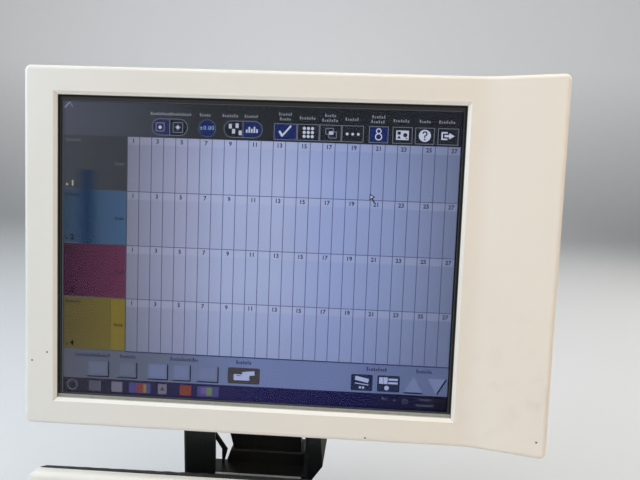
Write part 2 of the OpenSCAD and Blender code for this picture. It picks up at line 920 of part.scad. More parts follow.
// Ring of walls folded round the plinth, open above and below.
module plinth_box() {
    color("#2a2c2e")
        difference() {
            translate([0, box_mid, sheet_t])
                linear_extrude(box_h - sheet_t - top_t)
                    difference() {
                        round_rect(box_w, box_d, box_corner_r);
                        round_rect(box_w - 2 * sheet_t, box_d - 2 * sheet_t, box_corner_r - sheet_t + 1);
                    }
            translate([0, 0, box_h / 2])
                slab(window_w, window_h, 4, box_back - sheet_t - cut, box_back + cut);
        }
}

module plinth_top() {
    color("#2a2c2e")
        translate([0, 0, box_h - top_t])
            difference() {
                translate([0, box_mid, 0])
                    linear_extrude(top_t)
                        round_rect(box_w, box_d, box_corner_r);
                translate([grommet_x, grommet_back, -cut])
                    cylinder(r = grommet_r, h = top_t + 2 * cut);
            }
}

// Base plate with its four fixing holes, and the hole under the grommet for the cables.
module base_plate() {
    w = base_pitch_x + 2 * base_margin;
    color("#232526")
        difference() {
            translate([0, box_mid, 0])
                linear_extrude(sheet_t)
                    round_rect(w, box_d, box_corner_r);
            for (x = [-1, 1])
                for (y = [-1, 1])
                    translate([x * base_pitch_x / 2, y * base_pitch_y / 2, -cut])
                        cylinder(r = base_hole_r, h = sheet_t + 2 * cut);
            translate([grommet_x, grommet_back, -cut])
                cylinder(r = grommet_r, h = sheet_t + 2 * cut);
        }
}

// Section through the front panel: x is the depth behind its face, y runs across it.
module panel_section(across) {
    back_r = 0.5;
    translate([panel_edge_r, -across / 2])
        square([panel_t - panel_edge_r - back_r, across]);
    translate([0, -across / 2 + panel_edge_r])
        square([panel_edge_r + cut, across - 2 * panel_edge_r]);
    translate([panel_t - back_r - cut, -across / 2 + back_r])
        square([back_r + cut, across - 2 * back_r]);
    for (side = [-1, 1]) {
        translate([panel_edge_r, side * (across / 2 - panel_edge_r)])
            circle(panel_edge_r);
        translate([panel_t - back_r, side * (across / 2 - back_r)])
            circle(back_r);
    }
}

module front_panel() {
    h = panel_top - panel_foot_gap;
    color("#ddd8cb")
        translate([0, -panel_front, panel_foot_gap + h / 2])
            intersection() {
                slab(panel_w, h, panel_corner_r, 0, panel_t);
                run_across(-panel_w, panel_w)
                    panel_section(h);
                translate([0, 0, -h])
                    linear_extrude(2 * h)
                        rotate(90)
                            mirror([0, 1])
                                panel_section(panel_w);
            }
}

module panel_backing() {
    h = panel_top - backing_drop - sheet_t;
    color("#1b1c1d")
        translate([0, -panel_front + panel_t, sheet_t + h / 2])
            slab(panel_w - 4, h, panel_corner_r, 0, sheet_t);
}

module backing_gussets() {
    color("#232526")
        for (x = [-box_w / 2 + box_in, box_w / 2 - box_in - gusset_t])
            translate([0, -box_front, box_h])
                run_across(x, x + gusset_t)
                    polygon([[0, 0], [gusset_h, 0], [0, gusset_h]]);
}

module rear_hatch() {
    hatch_t = 2;
    color("#3a3d3f")
        translate([0, 0, box_h / 2])
            slab(window_w + 2 * hatch_lap, window_h + 2 * hatch_lap, 5, box_back, box_back + hatch_t);
}

module cable_grommet() {
    color("#141515")
        translate([grommet_x, grommet_back, box_h - top_t])
            difference() {
                union() {
                    cylinder(r = grommet_r, h = top_t);
                    translate([0, 0, top_t])
                        cylinder(r = grommet_r + 3, h = grommet_lip);
                }
                translate([0, 0, -cut])
                    cylinder(r = cable_r, h = top_t + grommet_lip + 2 * cut);
            }
}

front_frame();
screen_gasket();
touch_glass();
display_module();
module_carrier();
back_panel();
rear_cover();
driver_board();
socket_plate();
head_bracket();
tilt_axle();
axle_nut_left();
axle_nut_right();
friction_washers();
left_leg();
right_leg();
yoke_shelf();
shelf_edge_strip();
centre_block();
inner_brace();
swivel_disc();
swivel_post();
plinth_box();
plinth_top();
base_plate();
front_panel();
panel_backing();
backing_gussets();
rear_hatch();
cable_grommet();
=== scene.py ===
# %% [markdown]
# # A touch display on its tilting yoke
#
# This lesson dresses a finished construction: a wide touch display in a pale painted frame, carried by a
# black yoke on a low plinth. The hard shapes come in as a fixed frame of solids, so what is left to do is
# what a painter, a fitter and a screen designer would do: paint, glass, rubber, bare metal, small screws
# and the lit picture. Every number below is in metres, unless a name says millimetres.

# %% Load the fixed frame
import json
import math

import bmesh
import bpy
from mathutils import Matrix, Vector


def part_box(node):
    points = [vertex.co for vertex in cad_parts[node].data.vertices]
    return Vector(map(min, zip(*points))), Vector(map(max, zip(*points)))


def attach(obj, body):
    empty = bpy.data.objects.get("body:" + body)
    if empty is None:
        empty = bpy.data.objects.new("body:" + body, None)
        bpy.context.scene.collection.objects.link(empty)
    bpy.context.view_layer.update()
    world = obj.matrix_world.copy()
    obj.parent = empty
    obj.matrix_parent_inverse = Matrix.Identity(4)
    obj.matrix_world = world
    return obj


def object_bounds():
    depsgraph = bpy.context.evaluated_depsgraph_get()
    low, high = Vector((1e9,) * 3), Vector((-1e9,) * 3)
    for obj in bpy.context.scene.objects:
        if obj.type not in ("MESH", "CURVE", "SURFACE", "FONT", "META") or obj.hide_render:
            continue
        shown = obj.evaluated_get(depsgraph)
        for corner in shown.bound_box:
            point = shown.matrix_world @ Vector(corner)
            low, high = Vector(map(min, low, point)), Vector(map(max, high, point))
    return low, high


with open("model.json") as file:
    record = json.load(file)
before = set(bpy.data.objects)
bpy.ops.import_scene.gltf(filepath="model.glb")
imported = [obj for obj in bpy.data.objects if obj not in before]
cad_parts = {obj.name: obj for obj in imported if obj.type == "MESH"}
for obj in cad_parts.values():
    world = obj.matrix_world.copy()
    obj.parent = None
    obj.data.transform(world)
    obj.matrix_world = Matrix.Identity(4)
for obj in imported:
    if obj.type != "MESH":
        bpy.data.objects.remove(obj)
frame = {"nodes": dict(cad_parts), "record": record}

cad_low, cad_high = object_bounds()
MM = 0.001

# %% [markdown]
# ## Finding the screen
#
# The head leans back a few degrees, so nothing on it lies along the world's axes. Rather than repeat the
# angle, it is measured: the largest triangle of the touch glass that faces the operator gives the way the
# screen looks. From that come one matrix for everything on the head, with x to the right, y into the
# screen and z up the screen, and its origin in the middle of the lit picture.

# %% The head's own axes
def largest_face(node, towards):
    mesh = frame["nodes"][node].data
    facing = [p for p in mesh.polygons if p.normal.dot(towards) > 0.8]
    return max(facing, key=lambda p: p.area)


FORWARD = Vector((0, -1, 0))
glass_face = largest_face("touch_glass", FORWARD)
lean = math.asin(glass_face.normal.z)
to_head_axes = Matrix.Rotation(-lean, 4, "X")


def head_box(node):
    """Lowest and highest corner of a solid, measured along the head's own axes."""
    turned = [to_head_axes.inverted() @ v.co for v in frame["nodes"][node].data.vertices]
    low = Vector([min(p[i] for p in turned) for i in range(3)])
    high = Vector([max(p[i] for p in turned) for i in range(3)])
    return low, high


module_low, module_high = head_box("display_module")
middle_x, middle_z = (module_low.x + module_high.x) / 2, (module_low.z + module_high.z) / 2
picture_middle = Vector((middle_x, module_low.y, middle_z))
head_place = to_head_axes @ Matrix.Translation(picture_middle)
print("the screen leans back", round(math.degrees(lean), 2), "degrees")
print("middle of the picture", [round(a * 1000, 1) for a in head_place.translation], "mm")

# %% [markdown]
# ## The camera
#
# The camera stands close to the screen, a little right of its middle, and looks slightly down. Lines that
# run into the depth fan out strongly, which tells of a short lens. A camera is a place, a way to look and a
# lens. The three turns are given in the order in which a hand would make them: pan, then nod, then roll.

# %% The camera's place, turns and lens
camera_place = Vector((69.2, -405.4, 382.1)) * MM
camera_pan = math.radians(2.38)
camera_nod = math.radians(-9.73)
camera_roll = math.radians(1.91)

camera_data = bpy.data.cameras.new("camera")
camera_data.lens = 27.0
camera_data.sensor_width = 36.0
camera_data.clip_start = 0.01
camera = bpy.data.objects.new("camera", camera_data)
bpy.context.scene.collection.objects.link(camera)
camera.matrix_world = (
    Matrix.Translation(camera_place)
    @ Matrix.Rotation(camera_pan, 4, "Z")
    @ Matrix.Rotation(math.radians(90) + camera_nod, 4, "X")
    @ Matrix.Rotation(camera_roll, 4, "Z")
)
bpy.context.scene.camera = camera
bpy.context.scene.view_settings.view_transform = "Standard"

# %% [markdown]
# ## Hands for modelling
#
# The pieces below are modelled as by hand: add a primitive, go into edit mode, pick faces, inset, extrude
# and bevel, come back and apply. These helpers are the hands. One picks faces or edges by a test on their
# place, one sets a finished piece down so that its object sits at the origin with its place in its mesh,
# and one lets the piece ride on its body.

# %% Small helpers for edit mode
def put_down_everything():
    if bpy.context.object and bpy.context.object.mode != "OBJECT":
        bpy.ops.object.mode_set(mode="OBJECT")
    bpy.ops.object.select_all(action="DESELECT")


def take(*objects):
    put_down_everything()
    for one in objects:
        one.select_set(True)
    bpy.context.view_layer.objects.active = objects[0]
    return objects[0]


def pick(obj, test, kind="FACE"):
    """In edit mode, selects the faces or edges whose middle and normal pass the test."""
    take(obj)
    bpy.ops.object.mode_set(mode="EDIT")
    bpy.ops.mesh.select_mode(type=kind)
    bpy.ops.mesh.select_all(action="DESELECT")
    shape = bmesh.from_edit_mesh(obj.data)
    for part in (shape.faces if kind == "FACE" else shape.edges):
        if kind == "FACE":
            middle, normal = part.calc_center_median(), part.normal
        else:
            middle, normal = (part.verts[0].co + part.verts[1].co) / 2, None
        if test(middle, normal):
            part.select_set(True)
    bmesh.update_edit_mesh(obj.data)
    bpy.ops.mesh.select_mode(type=kind)


def edit_all(obj):
    """Goes into edit mode with the whole mesh selected."""
    take(obj)
    bpy.ops.object.mode_set(mode="EDIT")
    bpy.ops.mesh.select_all(action="SELECT")


def object_mode():
    bpy.ops.object.mode_set(mode="OBJECT")


def copy_of(obj):
    twin = obj.copy()
    twin.data = obj.data.copy()
    bpy.context.scene.collection.objects.link(twin)
    return twin


def set_down(obj, place=Matrix.Identity(4)):
    """Moves the mesh to its place and leaves the object at the origin, unturned and unscaled."""
    obj.data.transform(place @ obj.matrix_basis)
    obj.matrix_basis = Matrix.Identity(4)
    return obj


def joined(pieces, name):
    take(*pieces)
    if len(pieces) > 1:
        bpy.ops.object.join()
    whole = bpy.context.object
    whole.name = name
    whole.data.name = name
    return whole


def finish_piece(obj, name, body, slot, smooth=30, material=None):
    """Names a piece, smooths its soft edges, paints it and lets it ride on a body."""
    obj.name = name
    obj.data.name = name
    take(obj)
    if smooth:
        bpy.ops.object.shade_smooth_by_angle(angle=math.radians(smooth))
    obj.data.materials.clear()
    obj.data.materials.append(material or finish[slot])
    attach(obj, body)
    return obj

# %% [markdown]
# ## Hands for materials
#
# A material is a small machine of nodes. Writing each node out in full makes a script hard to read, so
# helpers stand for what is done again and again: put a node in and feed it, reckon from left to right as on
# a pocket calculator, mix two colours by a mask, and make noise or a ramp.

# %% Small helpers for node trees
def feed(node, inputs):
    """Gives each of these inputs a value or a wire."""
    for name, value in inputs.items():
        if isinstance(value, bpy.types.NodeSocket):
            node.id_data.links.new(value, node.inputs[name])
        else:
            node.inputs[name].default_value = value


def put(tree, kind, inputs=(), **settings):
    """Adds a node, sets it up and feeds it."""
    new = tree.nodes.new(kind)
    for name, value in settings.items():
        setattr(new, name, value)
    feed(new, dict(inputs))
    return new


SIGNS = {"+": "ADD", "-": "SUBTRACT", "*": "MULTIPLY", "/": "DIVIDE", "<": "LESS_THAN", ">": "GREATER_THAN",
         "max": "MAXIMUM", "abs": "ABSOLUTE", "part": "FRACT", "sin": "SINE"}


def home(*values):
    """The tree to which the wires among these values belong."""
    return next(value.id_data for value in values if isinstance(value, bpy.types.NodeSocket))


def calc(value, *rest, clamp=False):
    """Reckons from left to right, one node for each sign, and keeps the last result in 0 to 1 if asked."""
    rest = list(rest)
    tree = home(value, *rest)
    while rest:
        sign = rest.pop(0)
        values = {0: value}
        if sign not in ("abs", "part", "sin"):
            values[1] = rest.pop(0)
        step = put(tree, "ShaderNodeMath", values, operation=SIGNS[sign], use_clamp=clamp and not rest)
        value = step.outputs[0]
    return value


def noise(place, scale, detail):
    inputs = {"Vector": place, "Scale": scale, "Detail": detail}
    return put(home(place), "ShaderNodeTexNoise", inputs).outputs["Fac"]


def split(vector):
    """The three axes of a place or a direction."""
    return put(home(vector), "ShaderNodeSeparateXYZ", {0: vector}).outputs


def distance(first, second):
    away = put(home(first), "ShaderNodeVectorMath", {0: first, 1: second}, operation="DISTANCE")
    return away.outputs["Value"]


def mixed(mask, first, second, mode="MIX"):
    """The first colour where the mask is 0 and the second where it is 1."""
    tree = home(mask, first, second)
    first, second = [(*tone, 1) if isinstance(tone, tuple) else tone for tone in (first, second)]
    mix = put(tree, "ShaderNodeMix", {0: mask, 6: first, 7: second}, data_type="RGBA", blend_type=mode)
    return mix.outputs[2]


def ramp_of(value, stops):
    """A ramp of colours over places between 0 and 1, joined by straight slopes."""
    ramp = put(home(value), "ShaderNodeValToRGB", {"Fac": value})
    band = ramp.color_ramp
    while len(band.elements) < len(stops):
        band.elements.new(1.0)
    for element, (place, tone) in zip(band.elements, stops):
        element.position = place
        element.color = (*tone, 1)
    return ramp.outputs["Color"]


def steps(value, *stops):
    """A ramp of grey values between 0 and 1."""
    return ramp_of(value, [(place, (grey, grey, grey)) for place, grey in stops])


def new_material(name, metallic=0.0):
    """A material with its shader, and the object's own coordinates in millimetres."""
    material = bpy.data.materials.new(name)
    material.use_nodes = True
    tree = material.node_tree
    shader = tree.nodes["Principled BSDF"]
    shader.inputs["Metallic"].default_value = metallic
    texture = put(tree, "ShaderNodeTexCoord")
    place = put(tree, "ShaderNodeMapping", {"Vector": texture.outputs["Object"], "Scale": (1000, 1000, 1000)})
    return material, tree, shader, place.outputs["Vector"]


def new_group(name, inputs, outputs):
    """A node group: its tree, what is given to it, and the node that takes its results."""
    group = bpy.data.node_groups.new(name, "ShaderNodeTree")
    for title, kind, default in inputs:
        socket = group.interface.new_socket(name=title, in_out="INPUT", socket_type="NodeSocket" + kind)
        if default is not None:
            socket.default_value = default
    for title, kind in outputs:
        group.interface.new_socket(name=title, in_out="OUTPUT", socket_type="NodeSocket" + kind)
    start = group.nodes.new("NodeGroupInput")
    end = group.nodes.new("NodeGroupOutput")
    return group, start.outputs, end


def place_group(tree, group, **inputs):
    return put(tree, "ShaderNodeGroup", inputs, node_tree=group).outputs

# %% [markdown]
# ## Finishes that several pieces share
#
# The painted parts are powder coated: the powder melts to a skin with a fine ripple, like the skin of an
# orange, and with slight clouds of tone. One group makes both, and each paint sets the size of the grain.
# Dust settles where a surface looks up and wear shows as pale scuffs, so those are groups of their own.

# %% Powder coat
powder_coat, given, result = new_group(
    "powder coat",
    [("Place", "Vector", None), ("Colour", "Color", (0.5, 0.5, 0.5, 1)), ("Cloud", "Float", 0.04),
     ("Grain", "Float", 1.2), ("Roughness", "Float", 0.45)],
    [("Colour", "Color"), ("Roughness", "Float"), ("Height", "Float")],
)
clouds = noise(given["Place"], 0.012, 5.0)
ripple = noise(given["Place"], given["Grain"], 2.0)
speck = noise(given["Place"], 2.4, 1.0)
tone = calc(clouds, "-", 0.5)
fine = calc(speck, "-", 0.5, "*", 0.35)
shade = calc(tone, "+", fine, "*", given["Cloud"])
scale = calc(shade, "*", 4.0, "+", 1.0)
tinted = put(powder_coat, "ShaderNodeVectorMath", {0: given["Colour"], "Scale": scale}, operation="SCALE")
gloss = calc(given["Roughness"], "+", calc(tone, "*", 0.25))
feed(result, {"Colour": tinted.outputs[0], "Roughness": gloss, "Height": ripple})

# %% Dust that lies on upward faces, and scuffs that lighten a dark paint
dust_and_scuffs, given, result = new_group(
    "dust and scuffs",
    [("Place", "Vector", None), ("Up", "Float", 0.0), ("Colour", "Color", (0.5, 0.5, 0.5, 1)),
     ("Dust", "Float", 0.25), ("Scuffs", "Float", 0.2)],
    [("Colour", "Color"), ("Mask", "Float")],
)
drift = noise(given["Place"], 0.06, 6.0)
streak = noise(given["Place"], 0.35, 8.0)
upward = calc(given["Up"], "max", 0.0, "*", given["Dust"])
settled = calc(upward, "*", drift, clamp=True)
rubbed = calc(steps(streak, (0.60, 0), (0.72, 1)), "*", given["Scuffs"])
DUST_TONE = (0.42, 0.41, 0.38)
SCUFF_TONE = (0.30, 0.30, 0.29)
dusted = mixed(settled, given["Colour"], DUST_TONE)
scuffed = mixed(rubbed, dusted, SCUFF_TONE)
feed(result, {"Colour": scuffed, "Mask": calc(settled, "max", rubbed)})

# %% [markdown]
# Bare metal shows the way it was worked. A brushed or rolled sheet has lines along one direction, and a
# turned part has rings around its axis. Both are noise that has been stretched: the group stretches the
# coordinates it is given by a chosen amount per axis, so that the same recipe serves sheet, shaft and nut.

# %% Worked metal
worked_metal, given, result = new_group(
    "worked metal",
    [("Place", "Vector", None), ("Stretch", "Vector", (1, 1, 1)), ("Colour", "Color", (0.6, 0.6, 0.6, 1)),
     ("Roughness", "Float", 0.3), ("Stain", "Float", 0.2)],
    [("Colour", "Color"), ("Roughness", "Float"), ("Height", "Float")],
)
stretching = {0: given["Place"], 1: given["Stretch"]}
drawn = put(worked_metal, "ShaderNodeVectorMath", stretching, operation="MULTIPLY")
lines = noise(drawn.outputs[0], 1.0, 4.0)
stain = noise(given["Place"], 0.09, 6.0)
dull = calc(stain, "*", given["Stain"])
STAIN_TONE = (0.12, 0.11, 0.10)
stained = mixed(dull, given["Colour"], STAIN_TONE)
line_gloss = calc(lines, "*", 0.18)
gloss = calc(given["Roughness"], "+", line_gloss, "+", dull)
feed(result, {"Colour": stained, "Roughness": gloss, "Height": lines})


# %% Painted and bare finishes from the groups
def facing(tree):
    """The way a surface looks, as three axes."""
    return split(put(tree, "ShaderNodeNewGeometry").outputs["Normal"])


def bump(height, depth_mm, strength=0.5):
    inputs = {"Height": height, "Strength": strength, "Distance": depth_mm * MM}
    return put(home(height), "ShaderNodeBump", inputs).outputs["Normal"]


RUBBER_BLOOM = (0.16, 0.16, 0.15)


def dusted_over(tree, place, colour, dust, scuffs):
    return place_group(tree, dust_and_scuffs, Place=place, Up=facing(tree)["Z"], Colour=colour, Dust=dust,
                       Scuffs=scuffs)


def paint(name, colour, roughness=0.45, grain=1.2, ripple_mm=0.05, cloud=0.04, dust=0.2, scuffs=0.0):
    """A powder coat in one colour, with its own grain, dust and scuffs."""
    material, tree, shader, place = new_material(name)
    coated = place_group(tree, powder_coat, Place=place, Colour=(*colour, 1), Cloud=cloud, Grain=grain,
                         Roughness=roughness)
    dusty = dusted_over(tree, place, coated["Colour"], dust, scuffs)
    rough = calc(coated["Roughness"], "+", calc(dusty["Mask"], "*", 0.3))
    feed(shader, {"Base Color": dusty["Colour"], "Roughness": rough,
                  "Normal": bump(coated["Height"], ripple_mm)})
    return material


def metal(name, colour, roughness=0.3, stretch=(0.05, 2.0, 2.0), stain=0.2):
    """Bare metal with lines drawn along the axis where the stretch is small."""
    material, tree, shader, place = new_material(name, metallic=1.0)
    worked = place_group(tree, worked_metal, Place=place, Stretch=stretch, Colour=(*colour, 1),
                         Roughness=roughness, Stain=stain)
    feed(shader, {"Base Color": worked["Colour"], "Roughness": worked["Roughness"],
                  "Normal": bump(worked["Height"], 0.02, 0.3)})
    return material


def rubber(name, colour):
    """Dull rubber with a faint mottle and a bloom of dust."""
    material, tree, shader, place = new_material(name)
    mottle = noise(place, 0.5, 6.0)
    dusty = dusted_over(tree, place, (*colour, 1), 0.35, 0.05)
    bloom = calc(mottle, "*", 0.25)
    feed(shader, {"Base Color": mixed(bloom, dusty["Colour"], RUBBER_BLOOM),
                  "Roughness": calc(mottle, "*", 0.2, "+", 0.65),
                  "Normal": bump(mottle, 0.03, 0.4)})
    return material

# %% [markdown]
# ## Paints, metals and rubber of the solids
#
# The frame and the panel under it share one warm white powder coat, though the panel's copy is painted
# lighter, as if more light fell on it. It is handled all day, so it carries faint grey smudges where hands
# rest, at the grip wing. Painted light makes the coat cooler to the left and warmer to the right. More
# marks belong to the bevelled mouth round the screen: painted shade darkens its inner edge, least where it
# looks up, the four bevels meet in hairline mitres, and the upper bevel, which faces down, is painted paler,
# as if lit from below. All are masks made from the place on the head, so they stay on the frame however
# the head is tilted.

# %% Places on the head, in millimetres
PICTURE_W, PICTURE_H = 304.0, 228.0
OPENING_W, OPENING_H = 309.0, 236.0
BEVEL = 2.5


def picture_place(tree):
    """Coordinates from the middle of the picture: x to the right, y into the screen, z up."""
    texture = put(tree, "ShaderNodeTexCoord")
    set_by = {"Vector": texture.outputs["Object"], "Location": head_place.translation,
              "Rotation": (-lean, 0, 0), "Scale": (MM, MM, MM)}
    return put(tree, "ShaderNodeMapping", set_by, vector_type="TEXTURE").outputs[0]


def between(value, low, high):
    limits = {0: value, 1: (low + high) / 2, 2: (high - low) / 2}
    return put(home(value), "ShaderNodeMath", limits, operation="COMPARE").outputs[0]


def beyond(spot, width, height):
    """How far a place lies outside a rectangle round the picture's middle: aside, up or down, and at all."""
    axes = split(spot)
    aside = calc(axes["X"], "abs", "-", width / 2)
    above = calc(axes["Z"], "abs", "-", height / 2)
    return aside, above, calc(aside, "max", above)

# %% The warm white coat with its smudges and painted light and shade
WARM_WHITE = (0.785, 0.752, 0.682)
SMUDGE_TONE = (0.52, 0.52, 0.46)
# Soot for the real specks and the mitre joints; the same tone paints shade in the mouth's inner edge.
SOOT_AND_SHADE = (0.03, 0.028, 0.025)
# Painted light for the upper bevel, which faces down.
UPPER_BEVEL_LIGHT = (0.96, 0.93, 0.86)
# Tints of painted light: cool on the left, warm on the right.
COOL_LIGHT_SIDE, WARM_LIGHT_SIDE = (0.99, 1.01, 1.04), (1.02, 0.96, 0.91)
SPECKS = ((214.4, -126.9), (89.8, -136.3), (-161.5, -81.6), (-173.6, -88.6))
SPECK_R = 0.7
INNER_EDGE, MITRE = 0.25, 0.14
WING_SMUDGE = head_place @ Vector((0.214, 0, -0.088))
SMUDGE_REACH = 110.0


def white_coat(name, colour, smudges, mouth):
    material, tree, shader, place = new_material(name)
    coated = place_group(tree, powder_coat, Place=place, Colour=(*colour, 1), Cloud=0.012, Grain=1.6,
                         Roughness=0.42)
    patches = noise(place, 0.07, 6.0)
    near = calc(distance(place, tuple(WING_SMUDGE * 1000)), "/", SMUDGE_REACH)
    reach = steps(near, (0.0, 1.0), (0.4, 0.35), (0.9, 0.0))
    rubbed = calc(steps(patches, (0.50, 0.0), (0.80, 1.0)), "*", reach)
    # Painted light: the coat is tinted cooler to the left, where cool daylight falls, and warmer to the
    # right.
    to_right = calc(split(place)["X"], "/", 400.0, "+", 0.45, clamp=True)
    light_tint = mixed(to_right, COOL_LIGHT_SIDE, WARM_LIGHT_SIDE)
    tone = mixed(1.0, coated["Colour"], light_tint, mode="MULTIPLY")
    tone = mixed(calc(rubbed, "*", smudges), tone, SMUDGE_TONE)
    dirt = noise(place, 0.7, 2.0)
    specks = calc(steps(dirt, (0.80, 0.0), (0.83, 1.0)), "*", 0.5)
    tone = mixed(specks, tone, SOOT_AND_SHADE)
    if mouth:
        spot = picture_place(tree)
        aside, above, outside = beyond(spot, OPENING_W, OPENING_H)
        up = facing(tree)["Z"]
        # Painted light: the upper bevel faces down and is painted paler, as if lit from below.
        hanging = calc(up, "<", -0.3)
        lit_upper_bevel = calc(hanging, "*", between(outside, INNER_EDGE, BEVEL))
        tone = mixed(lit_upper_bevel, tone, UPPER_BEVEL_LIGHT)
        # Painted shade in the mouth's inner edge: nearly black where the wall faces sideways or down, about
        # half as dark where it looks up.
        shade_depth = calc(0.97, "-", calc(up, "max", 0.0, "*", 0.5))
        painted_inner_shade = calc(between(outside, -0.3, INNER_EDGE), "*", shade_depth)
        mitre = between(calc(aside, "-", above), -MITRE, MITRE)
        seam = calc(mitre, "*", between(outside, 0, BEVEL))
        tone = mixed(calc(painted_inner_shade, "max", calc(seam, "*", 0.75)), tone, SOOT_AND_SHADE)
        flat_spot = put(tree, "ShaderNodeVectorMath", {0: spot, 1: (1, 0, 1)}, operation="MULTIPLY")
        for x_speck, z_speck in SPECKS:
            off = distance(flat_spot.outputs[0], (x_speck, 0, z_speck))
            tone = mixed(calc(off, "<", SPECK_R), tone, SOOT_AND_SHADE)
    feed(shader, {"Base Color": tone, "Roughness": coated["Roughness"],
                  "Normal": bump(coated["Height"], 0.03, 0.35)})
    return material


def worn_sides(name, colour, sheen_tone):
    """The black of the legs, with a painted sheen on the faces that look to the right."""
    material = paint(name, colour, 0.45, 1.8, 0.03, 0.05, 0.10, 0.10)
    tree = material.node_tree
    shader = tree.nodes["Principled BSDF"]
    black = shader.inputs["Base Color"].links[0].from_socket
    # Painted sheen: faces that look to the right are painted paler, as if they caught light from the right.
    side = steps(facing(tree)["X"], (0.25, 0.0), (0.75, 1.0))
    feed(shader, {"Base Color": mixed(side, black, sheen_tone)})
    return material


# Painted shadow along the frame's edge, and painted light on the lower lip.
GAP_SHADOW_TONE = (0.004, 0.004, 0.004)
LIT_LIP_TONE = (0.40, 0.41, 0.37)


def seal_rubber(name, colour, dust):
    """Soft dark rubber, with a painted shadow line where it meets the frame, dust where it looks up, and
    painted light on its lower lip.
    """
    material, tree, shader, place = new_material(name)
    mottle = noise(place, 0.4, 5.0)
    dusty = dusted_over(tree, place, (*colour, 1), dust, 0.03)
    spot = picture_place(tree)
    outside = beyond(spot, OPENING_W, OPENING_H)[2]
    # Painted shadow: a black line where the rubber meets the frame.
    tone = mixed(calc(outside, ">", -1.3), dusty["Colour"], GAP_SHADOW_TONE)
    # Painted light: the lower lip, which faces up into the light, is painted a pale grey.
    lip = -OPENING_H / 2
    on_lip = between(split(spot)["Z"], lip - 1, lip + 2.5)
    lip_light = calc(mottle, "*", 0.5, "+", 0.55)
    feed(shader, {"Base Color": mixed(calc(on_lip, "*", lip_light), tone, LIT_LIP_TONE),
                  "Roughness": calc(mottle, "*", 0.2, "+", 0.6),
                  "Specular IOR Level": 0.25, "Normal": bump(mottle, 0.03, 0.4)})
    return material


finish = {
    "head_paint": white_coat("warm white coat", WARM_WHITE, 0.45, True),
    # The panel has the frame's coat, painted lighter as if more light fell on it.
    "panel_paint": white_coat("panel coat painted lighter", (0.88, 0.84, 0.76), 0.0, False),
    "gasket_rubber": seal_rubber("gasket rubber", (0.026, 0.025, 0.025), 0.15),
    "bare_sheet": metal("zinc plated sheet", (0.60, 0.61, 0.62), 0.35, (0.04, 1.5, 1.5), 0.25),
    "cover_paint": paint("textured grey cover", (0.16, 0.165, 0.17), 0.6, 1.0, 0.12, 0.03, 0.3),
    "board_box": paint("driver box plastic", (0.10, 0.12, 0.105), 0.55, 2.5, 0.03, 0.03, 0.4),
    "socket_metal": metal("socket metal", (0.45, 0.46, 0.47), 0.3, (0.3, 0.3, 2.5), 0.3),
    "black_paint": paint("black paint", (0.006, 0.006, 0.006), 0.46, 1.8, 0.03, 0.05, 0.06, 0.06),
    # The legs carry a painted sheen on their right faces.
    "leg_paint": worn_sides("black leg paint", (0.006, 0.008, 0.008), (0.055, 0.056, 0.046)),
    "shelf_paint": paint("black shelf paint", (0.007, 0.007, 0.006), 0.45, 1.8, 0.03, 0.05, 0.03, 0.1),
    "disc_paint": paint("black disc paint", (0.03, 0.03, 0.03), 0.4, 1.8, 0.03, 0.05, 0.15, 0.3),
    "plinth_paint": paint("textured black plinth", (0.035, 0.036, 0.038), 0.6, 0.9, 0.12, 0.04, 0.3, 0.1),
    "backing_paint": paint("black backing paint", (0.012, 0.012, 0.012), 0.5, 1.5, 0.04, 0.04, 0.05, 0.1),
    "hatch_paint": paint("textured grey hatch", (0.07, 0.075, 0.08), 0.55, 1.0, 0.10, 0.03, 0.25, 0.1),
    "axle_steel": metal("ground steel axle", (0.62, 0.63, 0.64), 0.18, (3.0, 0.1, 0.1), 0.15),
    "nut_steel": metal("dark zinc nuts", (0.40, 0.41, 0.42), 0.3, (2.0, 0.3, 0.3), 0.4),
    "washer_bronze": metal("bronze washers", (0.55, 0.40, 0.20), 0.32, (2.0, 0.2, 0.2), 0.3),
    "post_steel": metal("turned post steel", (0.56, 0.57, 0.58), 0.24, (0.1, 0.1, 3.0), 0.25),
    "strip_aluminium": metal("bright strip edge", (0.97, 0.97, 0.95), 0.6, (0.04, 2.0, 2.0), 0.02),
    "grommet_rubber": rubber("grommet rubber", (0.02, 0.02, 0.02)),
}

# %% [markdown]
# ## The touch glass
#
# A touch glass has a finely etched front with an anti-reflection coat, so that lamps show in it as a faint
# soft veil rather than as sharp spots. The coat is a thin film, and what it does is what a lower refractive
# index would do: less light turns back at each face. The picture lies just behind it, so the etching hardly
# blurs it. Finger marks are films of grease that don't change the colour, only how rough the surface is.

# %% Glass with finger marks
finger_marks, given, result = new_group(
    "finger marks", [("Place", "Vector", None), ("Roughness", "Float", 0.1), ("Marks", "Float", 0.1)],
    [("Roughness", "Float")],
)
WIPES = {"Vector": given["Place"], "Rotation": (0, math.radians(28), 0), "Scale": (0.012, 0.012, 0.05)}
wiped = put(finger_marks, "ShaderNodeMapping", WIPES)
film = noise(wiped.outputs[0], 1.0, 3.0)
touched = noise(given["Place"], 0.03, 2.0)
patches = steps(touched, (0.40, 0.2), (0.62, 1.0))
smear = calc(steps(film, (0.40, 0.0), (0.70, 1.0)), "*", patches)
greasy = calc(given["Roughness"], "+", calc(smear, "*", given["Marks"]))
feed(result, {"Roughness": greasy})

COATED_IOR = 1.17
glass, tree, shader, place = new_material("touch glass")
marks = place_group(tree, finger_marks, Place=place, Roughness=0.10, Marks=0.12)
feed(shader, {"Base Color": (0.97, 0.985, 1.0, 1), "Roughness": marks["Roughness"],
              "Transmission Weight": 1.0, "IOR": COATED_IOR})
finish["touch_glass"] = glass

